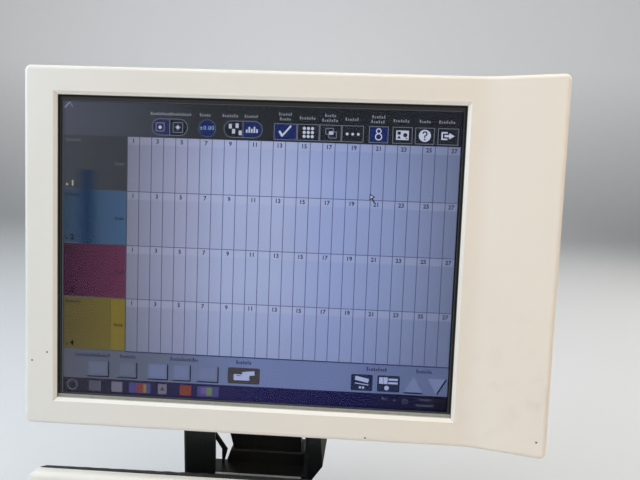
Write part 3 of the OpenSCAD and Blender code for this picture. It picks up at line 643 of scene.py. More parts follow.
# %% [markdown]
# ## The lit picture
#
# The display shows the ink zones of a printing unit: a grid of narrow columns in four rows, a coloured
# field for each ink at the left, a dark row of buttons above and a status bar below. The areas are painted
# in the material of the display module itself. Their edges are plain comparisons: a mask is 1 where a
# coordinate lies between two values. The coordinates are in millimetres on the picture, x to the right and
# z up from its middle, which is why the head's own lean goes into the Mapping node.
#
# A lit screen is light and not paint, so the colours go to Emission. What the glass in front adds to them
# is a faint pale veil; a painter would keep the darks a little darker, and so does `screen_tone`.

# %% Masks and tones on the picture
VEIL = 0.009


def area(x, z, left, right, low, high):
    return calc(between(x, left, right), "*", between(z, low, high))


def soft_band(x, middle, half_width):
    """A mask that is 1 in the middle of a band and fades to 0 on both sides."""
    away = calc(x, "-", middle, "abs")
    return calc(1.0, "-", calc(away, "/", half_width), "max", 0.0)


def screen_tone(red, green, blue):
    """A colour as it should be seen on the screen, from 0 to 255, turned into light."""
    def light(value):
        share = value / 255
        linear = share / 12.92 if share <= 0.04045 else ((share + 0.055) / 1.055) ** 2.4
        return max(linear - VEIL, 0.0008)
    return tuple(light(value) for value in (red, green, blue))


def across(value, *stops):
    """Screen tones along a value between 0 and 1."""
    return ramp_of(value, [(place, screen_tone(*tone)) for place, tone in stops])

# %% [markdown]
# A liquid crystal picture is never quite even: its brightness drifts in soft patches, and under the
# glass the fine raster of cells gives a faint weave. Both are made once, as a group that takes a colour
# and puts out the colour as it glows.

# %% The glow of the display's cells
PIXEL = 0.297
TURN = 2 * math.pi / PIXEL
cell_glow, given, result = new_group(
    "cell glow",
    [("Place", "Vector", None), ("Colour", "Color", (0.5, 0.5, 0.5, 1)), ("Depth", "Float", 0.12)],
    [("Colour", "Color")],
)
axes = split(given["Place"])
columns, rows = [
    calc(axes[axis], "*", TURN, "sin", "*", 0.5)
    for axis in ("X", "Z")
]
weave = calc(columns, "+", rows, "*", given["Depth"])
patch = noise(given["Place"], 0.012, 2.0)
unevenness = calc(patch, "-", 0.5, "*", 0.16)
gain = calc(weave, "+", unevenness, "+", 1.0)
glowing = put(cell_glow, "ShaderNodeVectorMath", {0: given["Colour"], "Scale": gain}, operation="SCALE")
feed(result, {"Colour": glowing.outputs[0]})

# %% [markdown]
# The picture's areas follow one another from the back to the front, as sheets of paper would be laid on
# each other: first the dark ground, then the pale grid with its lines, then the ink fields, the lower band
# and the status bar. Each call below lays one sheet.

# %% Areas of the picture
GRID_LEFT, GRID_TOP, GRID_LOW, GRID_RIGHT = -102.0, 88.5, -80.0, 152.0
COLUMNS = 27
PITCH = (GRID_RIGHT - GRID_LEFT) / COLUMNS
ROWS = 4
ROW_H = (GRID_TOP - GRID_LOW) / ROWS
STATUS_TOP = -103.1
LINE = 0.62
# REFLECTION_MIX sets how strongly the painted reflection band darkens the picture.
FALL_MIX, HEADER_MIX, LINE_MIX, REFLECTION_MIX = 0.55, 0.10, 0.72, 0.8

picture, tree, shader, _ = new_material("lit picture")
spot = picture_place(tree)
axes = split(spot)
x, z = axes["X"], axes["Z"]
along = calc(x, "/", PICTURE_W, "+", 0.5)
height = calc(z, "/", PICTURE_H, "+", 0.5)

ground = across(along, (0.0, (78, 80, 92)), (0.12, (70, 74, 84)), (0.35, (50, 52, 57)),
                (0.6, (41, 44, 47)), (1.0, (37, 39, 45)))
cells = across(along, (0.16, (118, 120, 138)), (0.30, (148, 151, 179)), (0.42, (160, 170, 205)),
               (0.55, (161, 171, 207)), (0.70, (145, 158, 203)), (0.84, (132, 144, 183)),
               (1.0, (104, 113, 141)))
dimmer = across(along, (0.16, (96, 98, 114)), (0.5, (122, 134, 176)), (1.0, (92, 102, 134)))
fall = steps(height, (0.13, 1.0), (0.40, 0.25), (0.75, 0.0), (0.87, 0.35))
cells = mixed(calc(fall, "*", FALL_MIX), cells, dimmer)

in_row = calc(z, "-", GRID_LOW, "/", ROW_H, "part")
header = steps(in_row, (0.85, 0.0), (0.86, 1.0))
cells = mixed(calc(header, "*", HEADER_MIX), cells, screen_tone(196, 200, 220))


def ruled(value, first, spacing):
    """A mask of thin lines, one at the first place and one at each spacing from it."""
    since = calc(value, "-", first - LINE / 2, "/", spacing, "part")
    return calc(since, "<", LINE / spacing)


LINE_TONE = screen_tone(52, 58, 92)
lines = calc(ruled(x, GRID_LEFT, PITCH), "max", ruled(z, GRID_LOW, ROW_H))
grid = mixed(calc(lines, "*", LINE_MIX), cells, LINE_TONE)
band = across(along, (0.0, (82, 83, 95)), (0.25, (92, 98, 118)), (0.5, (106, 118, 160)),
              (0.7, (104, 116, 158)), (1.0, (88, 98, 132)))
sheet = ground


def lay(left, right, low, high, tone):
    """Lays one sheet of a tone over what is there already."""
    return mixed(area(x, z, left, right, low, high), sheet, tone)


sheet = lay(GRID_LEFT, GRID_RIGHT, GRID_LOW, GRID_TOP, grid)
sheet = lay(-PICTURE_W / 2, GRID_RIGHT, STATUS_TOP, GRID_LOW, band)
sheet = lay(GRID_LEFT, GRID_RIGHT, GRID_LOW - LINE, GRID_LOW + LINE / 2, LINE_TONE)

INKS = [((66, 69, 76), (60, 63, 68)), ((52, 67, 85), (66, 88, 118)), ((60, 36, 52), (90, 51, 73)),
        ((84, 76, 50), (104, 95, 51))]
FIELD_RIGHT = GRID_LEFT - LINE
for number, (left_tone, right_tone) in enumerate(INKS):
    top = GRID_TOP - number * ROW_H
    low = top - ROW_H + LINE
    field = across(along, (0.0, left_tone), ((FIELD_RIGHT + PICTURE_W / 2) / PICTURE_W, right_tone))
    sheet = lay(-PICTURE_W / 2, FIELD_RIGHT, low, top, field)

# Painted reflection: a soft dark blue vertical band over the left part of the picture.
reflection_band = calc(soft_band(x, -133.5, 11.0), "*", between(z, GRID_TOP - 2 * ROW_H, 62.0))
sheet = mixed(calc(reflection_band, "*", REFLECTION_MIX), sheet, screen_tone(26, 46, 74))
STRIP_LEFT = -114.0
yellow_low, yellow_top = GRID_LOW + LINE, GRID_LOW + ROW_H - 1.0
sheet = lay(STRIP_LEFT, FIELD_RIGHT, yellow_low, yellow_top, screen_tone(113, 101, 50))
sheet = lay(STRIP_LEFT - 0.6, STRIP_LEFT, yellow_low, yellow_top, screen_tone(86, 78, 44))

status = across(along, (0.0, (45, 44, 50)), (0.2, (46, 44, 66)), (0.5, (40, 38, 77)),
                (0.75, (32, 32, 70)), (1.0, (12, 12, 34)))
sheet = mixed(calc(z, "<", STATUS_TOP), sheet, status)

# %% [markdown]
# Outside the picture the display has a black mask. It is given a faint painted glow, and a brighter one along
# the thin sheet edge that runs round it, for the light that falls on them; on the right they are painted in
# shade and stay almost black. Below, the status bar runs on a little under the lip. The module itself
# reflects next to nothing, as the front of a real one does behind bonded glass.

# %% Mask and edge round the picture
EDGE_OFF, EDGE_W = 0.5, 0.7
# Tones of the painted glow on the mask and on its edge.
MASK_GLOW_TONE, EDGE_GLOW_TONE = (48, 49, 52), (84, 88, 98)
UNDER_LIP = 1.4
outside = beyond(spot, PICTURE_W, PICTURE_H)[2]
lit = area(x, z, -PICTURE_W / 2, PICTURE_W / 2, -PICTURE_H / 2 - UNDER_LIP, PICTURE_H / 2)
edge = between(outside, EDGE_OFF, EDGE_OFF + EDGE_W)
# Painted light on the mask and edge, with painted shade on the right.
border_glow = mixed(edge, screen_tone(*MASK_GLOW_TONE), screen_tone(*EDGE_GLOW_TONE))
shaded_right = calc(x, ">", PICTURE_W / 2)
border_glow = mixed(calc(shaded_right, "*", 0.9), border_glow, (0.0, 0.0, 0.0))


def shine(tree, shader, spot, colour, depth):
    """Lets a surface glow through the cells and reflect next to nothing."""
    glow = place_group(tree, cell_glow, Place=spot, Colour=colour, Depth=depth)
    feed(shader, {"Emission Color": glow["Colour"], "Emission Strength": 1.0,
                  "Base Color": (0.001, 0.001, 0.001, 1), "Specular IOR Level": 0.0})


shine(tree, shader, spot, mixed(lit, border_glow, sheet), 0.05)
feed(shader, {"Roughness": calc(edge, "*", 0.1, "+", 0.5)})
finish["lit_picture"] = picture

# %% Every solid gets its finish
for entry in frame["record"]["subparts"]:
    solid = frame["nodes"][entry["node"]]
    material = finish[entry["material_slot"]]
    if not solid.material_slots:
        solid.data.materials.append(material)
    for slot in solid.material_slots:
        slot.material = material

# %% [markdown]
# ## Buttons, symbols and numbers on the picture
#
# The small marks could be painted as masks too, but a mask for a digit or an arrow is hard to read. Here
# they are cut out like paper: plates a fiftieth of a millimetre thick in the narrow gap between the picture
# and the glass. Each plate starts as a plane that faces the operator; its corners are rounded and it is
# given its thickness. Layers keep them in order: outlines, then fills, then symbols, then what lies on them.
# They are drawn upright about the middle of the picture and set onto the leaning screen at the end.

# %% Plates of light
THICK = 0.02
OUTLINE, FILL, SYMBOL, DETAIL, TOP = 0.04, 0.08, 0.12, 0.16, 0.20
UPRIGHT = (math.radians(90), 0, 0)
cut_out = {}


def thicken(shape, tone):
    """Gives a flat shape its thickness towards the operator and files it under its tone."""
    edit_all(set_down(shape))
    bpy.ops.mesh.extrude_region_move(TRANSFORM_OT_translate={"value": (0, -THICK * MM, 0)})
    bpy.ops.mesh.select_all(action="SELECT")
    bpy.ops.mesh.normals_make_consistent(inside=False)
    object_mode()
    cut_out.setdefault(tone, []).append(shape)
    return shape


def plate(tone, left, low, right, high, layer, radius=0.0):
    """A plate between two corners, its own corners rounded by a radius."""
    put_down_everything()
    bpy.ops.mesh.primitive_plane_add(size=1, rotation=UPRIGHT,
                                     location=((left + right) / 2 * MM, -layer * MM, (low + high) / 2 * MM))
    shape = bpy.context.object
    shape.scale = ((right - left) * MM, (high - low) * MM, 1)
    set_down(shape)
    if radius:
        edit_all(shape)
        bpy.ops.mesh.bevel(offset=radius * MM, segments=5, affect="VERTICES")
        object_mode()
    return thicken(shape, tone)


def circle(x, z, radius, layer, sides):
    put_down_everything()
    bpy.ops.mesh.primitive_circle_add(vertices=sides, radius=radius * MM, fill_type="NGON", rotation=UPRIGHT,
                                      location=(x * MM, -layer * MM, z * MM))
    return set_down(bpy.context.object)


def disc(tone, x, z, radius, layer, sides=32):
    return thicken(circle(x, z, radius, layer, sides), tone)


def triangle(tone, x, z, radius, layer, turn=0):
    """A triangle whose tip points up, then turned to the right by some degrees."""
    shape = set_down(disc(tone, 0, 0, radius, layer, 3), Matrix.Rotation(math.radians(turn), 4, "Y"))
    return set_down(shape, Matrix.Translation(Vector((x, 0, z)) * MM))


def ring(tone, x, z, radius, width, layer, start=0, end=360):
    """A disc whose middle is inset and taken out, kept between two angles counted upwards from the right."""
    shape = circle(x, z, radius, layer, 36)
    edit_all(shape)
    bpy.ops.mesh.inset(thickness=width * MM)
    bpy.ops.mesh.delete(type="FACE")

    def left_out(middle, normal):
        return not start < math.degrees(math.atan2(middle.z - z * MM, middle.x - x * MM)) % 360 < end
    pick(shape, left_out)
    bpy.ops.mesh.delete(type="FACE")
    object_mode()
    return thicken(shape, tone)


def stroke(tone, start, end, width, layer):
    """A straight line from one place to another."""
    run, rise = end[0] - start[0], end[1] - start[1]
    half = math.hypot(run, rise) / 2
    shape = plate(tone, -half, -width / 2, half, width / 2, layer)
    middle = Vector(((start[0] + end[0]) / 2, 0, (start[1] + end[1]) / 2)) * MM
    return set_down(shape, Matrix.Translation(middle) @ Matrix.Rotation(-math.atan2(rise, run), 4, "Y"))


def frame_plate(tone, left, low, right, high, width, layer):
    """Four strokes round a rectangle, as one square outline."""
    corners = ((left, low), (right, low), (right, high), (left, high))
    for number in range(4):
        stroke(tone, corners[number], corners[(number + 1) % 4], width, layer)


def figures(tone, text, x, z, size, layer, bold=0.10, gap=1.0):
    """Plain digits or a sign, centred on a place."""
    put_down_everything()
    bpy.ops.object.text_add(rotation=UPRIGHT, location=(x * MM, -layer * MM, z * MM))
    sign = bpy.context.object.data
    sign.body = text
    sign.size = size * MM
    sign.align_x = "CENTER"
    sign.align_y = "CENTER"
    sign.resolution_u = 3
    sign.offset = bold * MM
    sign.space_character = gap
    sign.extrude = THICK / 2 * MM
    bpy.ops.object.convert(target="MESH")
    shape = set_down(bpy.context.object)
    edit_all(shape)
    bpy.ops.mesh.remove_doubles(threshold=0.002 * MM)
    object_mode()
    cut_out.setdefault(tone, []).append(shape)
    return shape


def dashes(tone, x, z, width, layer, high=1.5):
    """A short row of blocks, some taller, where a label would stand: it reads as writing but says nothing."""
    place, turn = x - width / 2, 0
    while place < x + width / 2 - 0.6:
        long = min((1.0, 0.8, 1.2, 0.9)[turn % 4], x + width / 2 - place)
        tall = high * (1.6, 1.0, 1.0, 1.4, 1.0)[turn % 5]
        plate(tone, place, z - high / 2, place + long, z - high / 2 + tall, layer)
        place += long + 0.8
        turn += 1

# %% [markdown]
# ### The row of buttons
#
# Two round-ended pairs, a round button and a row of square ones. Chosen functions are blue and the others
# dark; all have a thin grey outline. The symbols are the plain kind that any control screen uses.

# %% Button fields
BUTTON_LOW, BUTTON_HIGH = 89.6, 102.0
PILL_LOW, PILL_HIGH = 90.2, 103.0
SQUARES = [(11.0, 28.5, "blue"), (28.8, 45.6, "dark"), (45.8, 62.3, "dark"), (62.5, 79.0, "dark"),
           (83.0, 97.6, "blue"), (100.6, 115.6, "dark"), (117.5, 132.0, "dark"), (134.4, 149.8, "dark")]
EDGE = 0.5

for left, right, tone in SQUARES:
    plate("outline", left, BUTTON_LOW, right, BUTTON_HIGH, OUTLINE)
    plate(tone, left + EDGE, BUTTON_LOW + EDGE, right - EDGE, BUTTON_HIGH - EDGE, FILL)

PAIRS = [(-83.2, -69.2, -55.2, "navy", "dark"), (-27.6, -12.7, 2.4, "dark", "blue")]
pill_r = (PILL_HIGH - PILL_LOW) / 2 - 0.1
for left, divide, right, left_tone, right_tone in PAIRS:
    plate("outline", left, PILL_LOW, right, PILL_HIGH, OUTLINE, pill_r)
    for tone, keeps_left in ((left_tone, True), (right_tone, False)):
        half = plate(tone, left + EDGE, PILL_LOW + EDGE, right - EDGE, PILL_HIGH - EDGE, FILL, pill_r - EDGE)
        edit_all(half)
        bpy.ops.mesh.bisect(plane_co=(divide * MM, 0, 0), plane_no=(1, 0, 0), clear_outer=keeps_left,
                            clear_inner=not keeps_left, use_fill=True)
        object_mode()
    stroke("outline", (divide, PILL_LOW), (divide, PILL_HIGH), EDGE, SYMBOL)

plate("outline", -46.9, PILL_LOW - 0.2, -33.5, PILL_HIGH + 0.2, OUTLINE, 6.6)
disc("blue", -40.2, (PILL_LOW + PILL_HIGH) / 2, 6.3, FILL, 48)

# %% Symbols on the buttons
row = 95.8
pill_row = (PILL_LOW + PILL_HIGH) / 2
frame_plate("dim", -79.8, pill_row - 3.2, -73.6, pill_row + 3.0, 0.55, SYMBOL)
disc("pale", -76.7, pill_row - 0.3, 1.3, SYMBOL, 16)
frame_plate("dim", -66.6, pill_row - 3.8, -59.2, pill_row + 3.6, 0.5, SYMBOL)
for reach in (2.4, -2.4):
    stroke("dim", (-62.9, pill_row), (-62.9 + reach, pill_row), 0.8, SYMBOL)
    stroke("dim", (-62.9, pill_row), (-62.9, pill_row + reach), 0.8, SYMBOL)
plate("pale", -64.0, pill_row - 1.1, -61.8, pill_row + 1.1, DETAIL)
figures("sky", "±0.00", -40.4, pill_row + 0.1, 4.4, SYMBOL, -0.05, 1.12)
for x_mark, z_mark in ((-23.6, 0.4), (-18.4, 0.9), (-21.0, -3.4), (-15.9, -4.4)):
    plate("pale", x_mark, pill_row + z_mark, x_mark + 2.3, pill_row + z_mark + 3.5, SYMBOL)
for number, bar_h in enumerate((2.4, 4.4, 3.0, 4.6, 2.8)):
    plate("pale", -10.4 + number * 1.95, pill_row - 2.4, -9.1 + number * 1.95, pill_row - 2.4 + bar_h, SYMBOL)

stroke("bright", (15.2, 96.2), (17.6, 92.4), 1.7, SYMBOL)
stroke("bright", (17.1, 92.4), (24.0, 100.4), 1.3, SYMBOL)
for across_dots in (-3.1, 0, 3.1):
    for up_dots in (-3.0, 0, 3.0):
        disc("bright", 37.2 + across_dots, row + up_dots, 1.2, SYMBOL, 16)
frame_plate("dim", 50.4, row - 0.9, 56.2, row + 3.6, 0.5, SYMBOL)
frame_plate("dim", 52.8, row - 3.6, 58.6, row + 1.0, 0.5, SYMBOL)
plate("pale", 53.0, row - 1.1, 56.0, row + 1.4, DETAIL)
for x_dot in (66.6, 70.8, 75.0):
    disc("bright", x_dot, row - 0.2, 1.05, SYMBOL, 16)
ring("bright", 90.3, row + 2.6, 2.1, 0.75, SYMBOL)
ring("bright", 90.3, row - 1.6, 2.7, 0.8, SYMBOL)
plate("bright", 103.4, row - 3.4, 112.8, row + 3.6, SYMBOL)
plate("dark", 104.3, row + 0.5, 106.8, row + 2.8, DETAIL)
disc("dark", 105.6, row - 1.6, 1.6, DETAIL, 3)
disc("dark", 110.2, row + 0.2, 1.6, DETAIL, 20)
plate("dark", 110.6, row - 2.6, 112.0, row - 1.9, DETAIL)
help_x, help_z = 124.8, 96.0
disc("bright", help_x, help_z, 4.5, SYMBOL, 40)
ring("dark", help_x, help_z + 1.5, 1.95, 1.0, DETAIL, 0, 180)
ring("dark", help_x, help_z + 1.5, 1.95, 1.0, DETAIL, 290, 360)
plate("dark", help_x - 0.5, help_z - 1.5, help_x + 0.5, help_z + 0.3, DETAIL)
plate("dark", help_x - 0.55, help_z - 3.3, help_x + 0.55, help_z - 2.2, DETAIL)
exit_z = 96.3
for a, b in (((137.6, 93.4), (137.6, 99.2)), ((137.6, 98.7), (141.6, 98.7)), ((137.6, 93.9), (141.6, 93.9))):
    stroke("bright", a, b, 1.1, SYMBOL)
plate("bright", 139.4, exit_z - 0.8, 143.4, exit_z + 0.8, SYMBOL)
triangle("bright", 144.2, exit_z, 2.7, SYMBOL, 90)

LABELS = [(-76.0, 16, 0), (-60.5, 15, 0), (-41.5, 9, 0), (-22.0, 13, 0), (-6.0, 11, 0), (19.5, 10, 8),
          (36.5, 12, 0), (54.0, 9, 13), (70.5, 11, 0), (90.0, 10, 11), (107.5, 13, 0), (124.5, 8, 0),
          (141.5, 13, 0)]
LABEL_ALONE, LABEL_UPPER, LABEL_LOWER = 106.2, 108.6, 105.0
for x_label, first, second in LABELS:
    dashes("label", x_label, LABEL_UPPER if second else LABEL_ALONE, first, OUTLINE)
    if second:
        dashes("label", x_label, LABEL_LOWER, second, OUTLINE)
print(sum(len(group) for group in cut_out.values()), "plates in the row of buttons")

# %% [markdown]
# ### Numbers of the zones, and the ink fields
#
# Every second column carries its number at the top of each of the four rows. The numbers are modelled for
# one row, and that row is copied down three times. Each ink field has its own number in its lower corner.

# %% Zone numbers
first_row = []
for number in range(1, COLUMNS + 1, 2):
    middle_x = GRID_LEFT + (number - 0.5) * PITCH
    first_row.append(figures("zone", str(number), middle_x, GRID_TOP - 3.3, 4.5, OUTLINE, 0.10))
for row_number in range(1, ROWS):
    for figure in first_row:
        twin = set_down(copy_of(figure), Matrix.Translation((0, 0, -row_number * ROW_H * MM)))
        cut_out["zone"].append(twin)

for row_number in range(ROWS):
    top = GRID_TOP - row_number * ROW_H
    tone = "first_number" if row_number == 0 else "ink_number"
    figures(tone, str(row_number + 1), -145.2, top - ROW_H + 4.9, 6.0, OUTLINE, 0.22)
    disc(tone, -149.6, top - ROW_H + 4.0, 1.3, OUTLINE, 3)
    mark = "first_mark" if row_number == 0 else "field_mark"
    dashes(mark, -144.5, top - 4.0, 12, OUTLINE)
    dashes(mark, -107.5, top - ROW_H / 2 - 0.5, 7, OUTLINE, 1.6)

# %% [markdown]
# ### The lower band and the status bar
#
# Five raised keys show only their shaded right and lower edges, three dark keys carry pale pictures of the
# devices they start, and two arrows turn the pages. In the status bar there are plain blocks of colour.

# %% Keys of the lower band
KEY_LOW, KEY_HIGH = -100.2, -87.6
counted = {tone: len(shapes) for tone, shapes in cut_out.items()}
for left, right in ((-132.8, -115.2), (-107.8, -92.4), (-83.6, -67.6), (-63.6, -49.4), (-43.8, -27.2)):
    side = "key" if left < -90 else "key_mid"
    plate(side, left, KEY_LOW, right, KEY_HIGH, OUTLINE)
    plate(side + "_light", left + 1.6, KEY_LOW + 2.0, right - 1.8, KEY_HIGH - 0.8, FILL)
    stroke("key_edge", (left, KEY_LOW), (right, KEY_LOW), 0.9, SYMBOL)
    stroke("key_edge", (right, KEY_LOW), (right, KEY_HIGH), 0.9, SYMBOL)

plate("slate", -19.6, KEY_LOW, 5.8, KEY_HIGH + 0.3, OUTLINE, 1.4)
plate("silver", -14.8, -97.4, -2.4, -92.6, FILL)
stroke("silver", (-8.0, -92.4), (1.6, -91.2), 3.4, SYMBOL)
plate("slate", -12.6, -93.9, -9.2, -93.4, DETAIL)
for left, right in ((77.4, 94.2), (97.8, 115.2)):
    plate("slate_blue", left, KEY_LOW - 0.3, right, KEY_HIGH, OUTLINE, 1.2)
stroke("silver", (80.6, -90.4), (91.0, -92.6), 3.2, FILL)
stroke("silver", (80.6, -94.6), (91.0, -95.8), 0.7, FILL)
for x_half in (84.6, 87.0):
    disc("silver", x_half, -98.0, 1.0, FILL, 12)
plate("silver", 99.2, -94.2, 105.8, -89.0, FILL)
stroke("slate_blue", (102.5, -94.2), (102.5, -89.0), 0.3, SYMBOL)
for z_bar in (-90.6, -93.4):
    plate("silver", 106.4, z_bar - 0.8, 113.6, z_bar + 0.8, FILL)
disc("silver", 105.2, -97.4, 1.8, FILL, 20)

triangle("page", 125.8, -95.6, 8.2, OUTLINE)
stroke("key_edge", (118.6, -100.4), (133.2, -100.4), 1.1, FILL)
triangle("page", 143.6, -92.4, 8.2, OUTLINE, 180)
stroke("key_edge", (144.0, -100.4), (150.8, -88.4), 1.2, FILL)

# %% Blocks of the status bar
BLOCK_LOW, BLOCK_HIGH = -112.0, -103.8
ring("block_grey", -144.8, -107.8, 4.6, 1.4, OUTLINE)
for left, right, tone in ((-131.2, -121.4, "grey"), (-112.8, -104.0, "pale"), (-98.6, -81.2, "blue"),
                          (-75.2, -68.2, "pale"), (-57.6, -48.4, "rose"), (-43.6, -26.4, "blue")):
    plate("block_" + tone, left, BLOCK_LOW, right, BLOCK_HIGH, OUTLINE, 0.5)
plate("block_rose", -92.4, -111.4, -87.2, -104.4, FILL)
plate("block_sand", -87.0, -111.4, -84.6, -104.8, FILL)
plate("block_green", -36.4, -111.2, -31.8, -104.4, FILL)
plate("block_violet", -40.6, -109.6, -36.6, -105.0, FILL)
disc("slate", -71.6, -107.9, 2.0, FILL, 3)
dashes("tray", 104.0, -106.2, 4, OUTLINE, 1.4)
disc("tray", 111.6, -107.0, 1.2, OUTLINE, 3)
frame_plate("tray", 118.0, -108.6, 121.6, -106.0, 0.5, OUTLINE)
dashes("tray", 135.6, -105.4, 9, OUTLINE, 1.1)
dashes("tray", 135.6, -110.0, 14, OUTLINE, 1.1)

# %% The lower band set a little deeper
BAND_DROP = 1.1
for tone, shapes in cut_out.items():
    for shape in shapes[counted.get(tone, 0):]:
        set_down(shape, Matrix.Translation((0, 0, -BAND_DROP * MM)))
for x_label, width in ((-128.2, 28), (-99.2, 13), (-54.4, 22), (-7.0, 12), (97.3, 16), (134.1, 13)):
    dashes("key_label", x_label, -84.6, width, OUTLINE, 1.9)

# %% The pointer
triangle("pointer", 87.0, 48.9, 2.9, SYMBOL, -30)
triangle("pale", 87.0, 48.9, 1.5, DETAIL, -30)
stroke("pointer", (87.4, 48.0), (89.4, 44.6), 1.0, SYMBOL)

# %% Scratches in the upper left corner of the screen
for a, b, width in (((-151.6, 109.0), (-147.2, 113.6), 1.1), ((-146.8, 112.3), (-145.2, 109.6), 0.8)):
    stroke("scratch", a, b, width, TOP)

# %% Light for every tone, and one piece for each
TONES = {
    "outline": (108, 113, 130), "dark": (40, 43, 48), "blue": (36, 46, 92), "navy": (48, 52, 84),
    "dim": (118, 124, 142), "pale": (178, 184, 206), "bright": (186, 192, 214), "sky": (158, 188, 236),
    "label": (128, 132, 144), "zone": (40, 44, 78), "first_number": (164, 160, 146),
    "ink_number": (22, 22, 30), "first_mark": (96, 98, 102), "field_mark": (40, 40, 48),
    "key": (86, 91, 110), "key_light": (94, 100, 120), "key_edge": (14, 16, 38), "key_mid": (97, 105, 136),
    "key_mid_light": (103, 112, 146), "page": (108, 118, 156), "key_label": (44, 48, 78),
    "slate": (66, 63, 68), "slate_blue": (38, 44, 70), "silver": (158, 168, 204),
    "block_grey": (78, 78, 92), "block_pale": (104, 100, 116), "block_blue": (72, 70, 116),
    "block_rose": (114, 62, 57), "block_sand": (122, 108, 60), "block_green": (96, 112, 84),
    "block_violet": (98, 84, 140), "tray": (92, 92, 124), "pointer": (34, 38, 60),
    "scratch": (122, 132, 148),
}


def screen_mark(name, tone):
    """Light of one tone, with the same glow of cells as the picture behind it."""
    material, tree, shader, _ = new_material(name)
    shine(tree, shader, picture_place(tree), (*screen_tone(*tone), 1), 0.08)
    return material


for name, shapes in cut_out.items():
    piece = joined(shapes, "picture_" + name)
    set_down(piece, head_place)
    light = screen_mark("light " + name, TONES[name])
    finish_piece(piece, "picture_" + name, "head", "lit_picture", smooth=0, material=light)
print(len(cut_out), "tones on the picture")

# %% [markdown]
# ## Screws, contacts and a ragged dark strip
#
# The small fasteners hold the sheets and plates of the construction. A button-head screw is modelled once: a
# short cylinder whose top rim is bevelled round and whose drive is a hexagon sunk into it. Every other screw
# is a copy of it, turned to the face it sits on and joined with its neighbours into one piece.

# %% A button-head screw
def cylinder(sides, radius, length, middle):
    put_down_everything()
    bpy.ops.mesh.primitive_cylinder_add(vertices=sides, radius=radius * MM, depth=length * MM,
                                        location=(0, 0, middle * MM))
    return set_down(bpy.context.object)


def rounded_pin(sides, radius, length, rim, segments):
    """A cylinder that stands on the origin, with a bevel round its upper rim."""
    pin = cylinder(sides, radius, length, length / 2)
    pick(pin, lambda middle, normal: middle.z > (length - 0.01) * MM, "EDGE")
    bpy.ops.mesh.bevel(offset=rim * MM, segments=segments)
    object_mode()
    return pin


def button_screw(radius, height, key):
    """A button head with a hexagon socket, seated on the origin and looking along z."""
    head = rounded_pin(28, radius, height, height * 0.62, 4)
    drive = cylinder(6, key, height, height)
    take(head)
    cut = head.modifiers.new("drive", "BOOLEAN")
    cut.object = drive
    cut.operation = "DIFFERENCE"
    cut.solver = "EXACT"
    bpy.ops.object.modifier_apply(modifier=cut.name)
    bpy.data.objects.remove(drive)
    return head


BACKWARD = Matrix.Rotation(math.radians(-90), 4, "X")
screw = button_screw(3.8, 2.2, 1.45)
small_screw = button_screw(2.6, 1.6, 1.0)
print("one screw has", len(screw.data.polygons), "faces")


def screws(name, model, places, body):
    """Copies of a screw at these places, as one piece."""
    group = [set_down(copy_of(model), place) for place in places]
    return finish_piece(joined(group, name), name, body, "nut_steel")


# %% Screws on the back of the head
PICTURE_DEPTH = 6.8


def on_back(x, depth, z, turn=0.0):
    """A place on the back of the head: its depth counts from the front of the frame."""
    spot = Matrix.Translation(Vector((x, depth - PICTURE_DEPTH, z)) * MM)
    return head_place @ spot @ Matrix.Rotation(math.radians(turn), 4, "Z") @ BACKWARD


def on_panel(along, z):
    """A place on the back panel, counted along the frame: past the bend it lies on the wing."""
    bend, radius, angle, depth = 161.0, 60.0, 14.0, 22.0
    length = radius * math.radians(angle)
    if along < bend:
        return on_back(along, depth, z)
    out, side = math.cos(math.radians(angle)), math.sin(math.radians(angle))
    x = bend + (radius + depth) * side + (along - bend - length) * out
    return on_back(x, -radius + (radius + depth) * out - (along - bend - length) * side, z, -angle)


both = (-1, 1)
BRACKET_HALF, BRACKET_DEPTH = 50, 63
places = [on_back(BRACKET_HALF * x, BRACKET_DEPTH, BRACKET_HALF * z) for x in both for z in both]
screws("bracket_screws", screw, places, "head")
PANEL_ALONG, PANEL_HALF_H = (-173.5, 0, 157, 216.2), 133
places = [on_panel(along, PANEL_HALF_H * z) for along in PANEL_ALONG for z in both]
screws("back_panel_screws", small_screw, places, "head")
FLANGE_HALF_W, FLANGE_HALF_H, FLANGE_DEPTH = 146.5, 106.5, 24.5
places = [on_back(FLANGE_HALF_W * x, FLANGE_DEPTH, z) for x in both for z in (-70, 0, 70)]
places += [on_back(x, FLANGE_DEPTH, FLANGE_HALF_H * z) for z in both for x in (-105, 0, 105)]
screws("cover_screws", small_screw, places, "head")

# %% Screws on the plinth
hatch_low, hatch_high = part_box("rear_hatch")
hatch_back = Vector(((hatch_low.x + hatch_high.x) / 2, hatch_high.y, (hatch_low.z + hatch_high.z) / 2))
HATCH_HALF_W, HATCH_HALF_H = 62.8, 11.8
places = []
for x in both:
    for z in both:
        spot = hatch_back + Vector((HATCH_HALF_W * x, 0, HATCH_HALF_H * z)) * MM
        places.append(Matrix.Translation(spot) @ BACKWARD)
screws("hatch_screws", small_screw, places, "plinth")

seat_low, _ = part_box("swivel_post")
SEAT_FLANGE, SEAT_RING = 8.0, 35.0
places = []
for number in range(6):
    turn = math.radians(30 + 60 * number)
    spot = Vector((SEAT_RING * math.cos(turn), SEAT_RING * math.sin(turn), seat_low.z * 1000 + SEAT_FLANGE))
    places.append(Matrix.Translation(spot * MM))
screws("seat_screws", small_screw, places, "plinth")
for model in (screw, small_screw):
    bpy.data.objects.remove(model)

# %% Contacts inside the two sockets
SOCKET_Z, SOCKET_DEPTH = -73.25, 55.5
ROUND_X, LONG_X, PIN_PITCH = -70, -97.9, 2.5
contact_parts = []


def contact(x, z, radius, length):
    """A pin with a rounded tip, standing in a socket."""
    pin = rounded_pin(14, radius, length, radius * 0.6, 3)
    contact_parts.append(set_down(pin, on_back(x, SOCKET_DEPTH, z)))


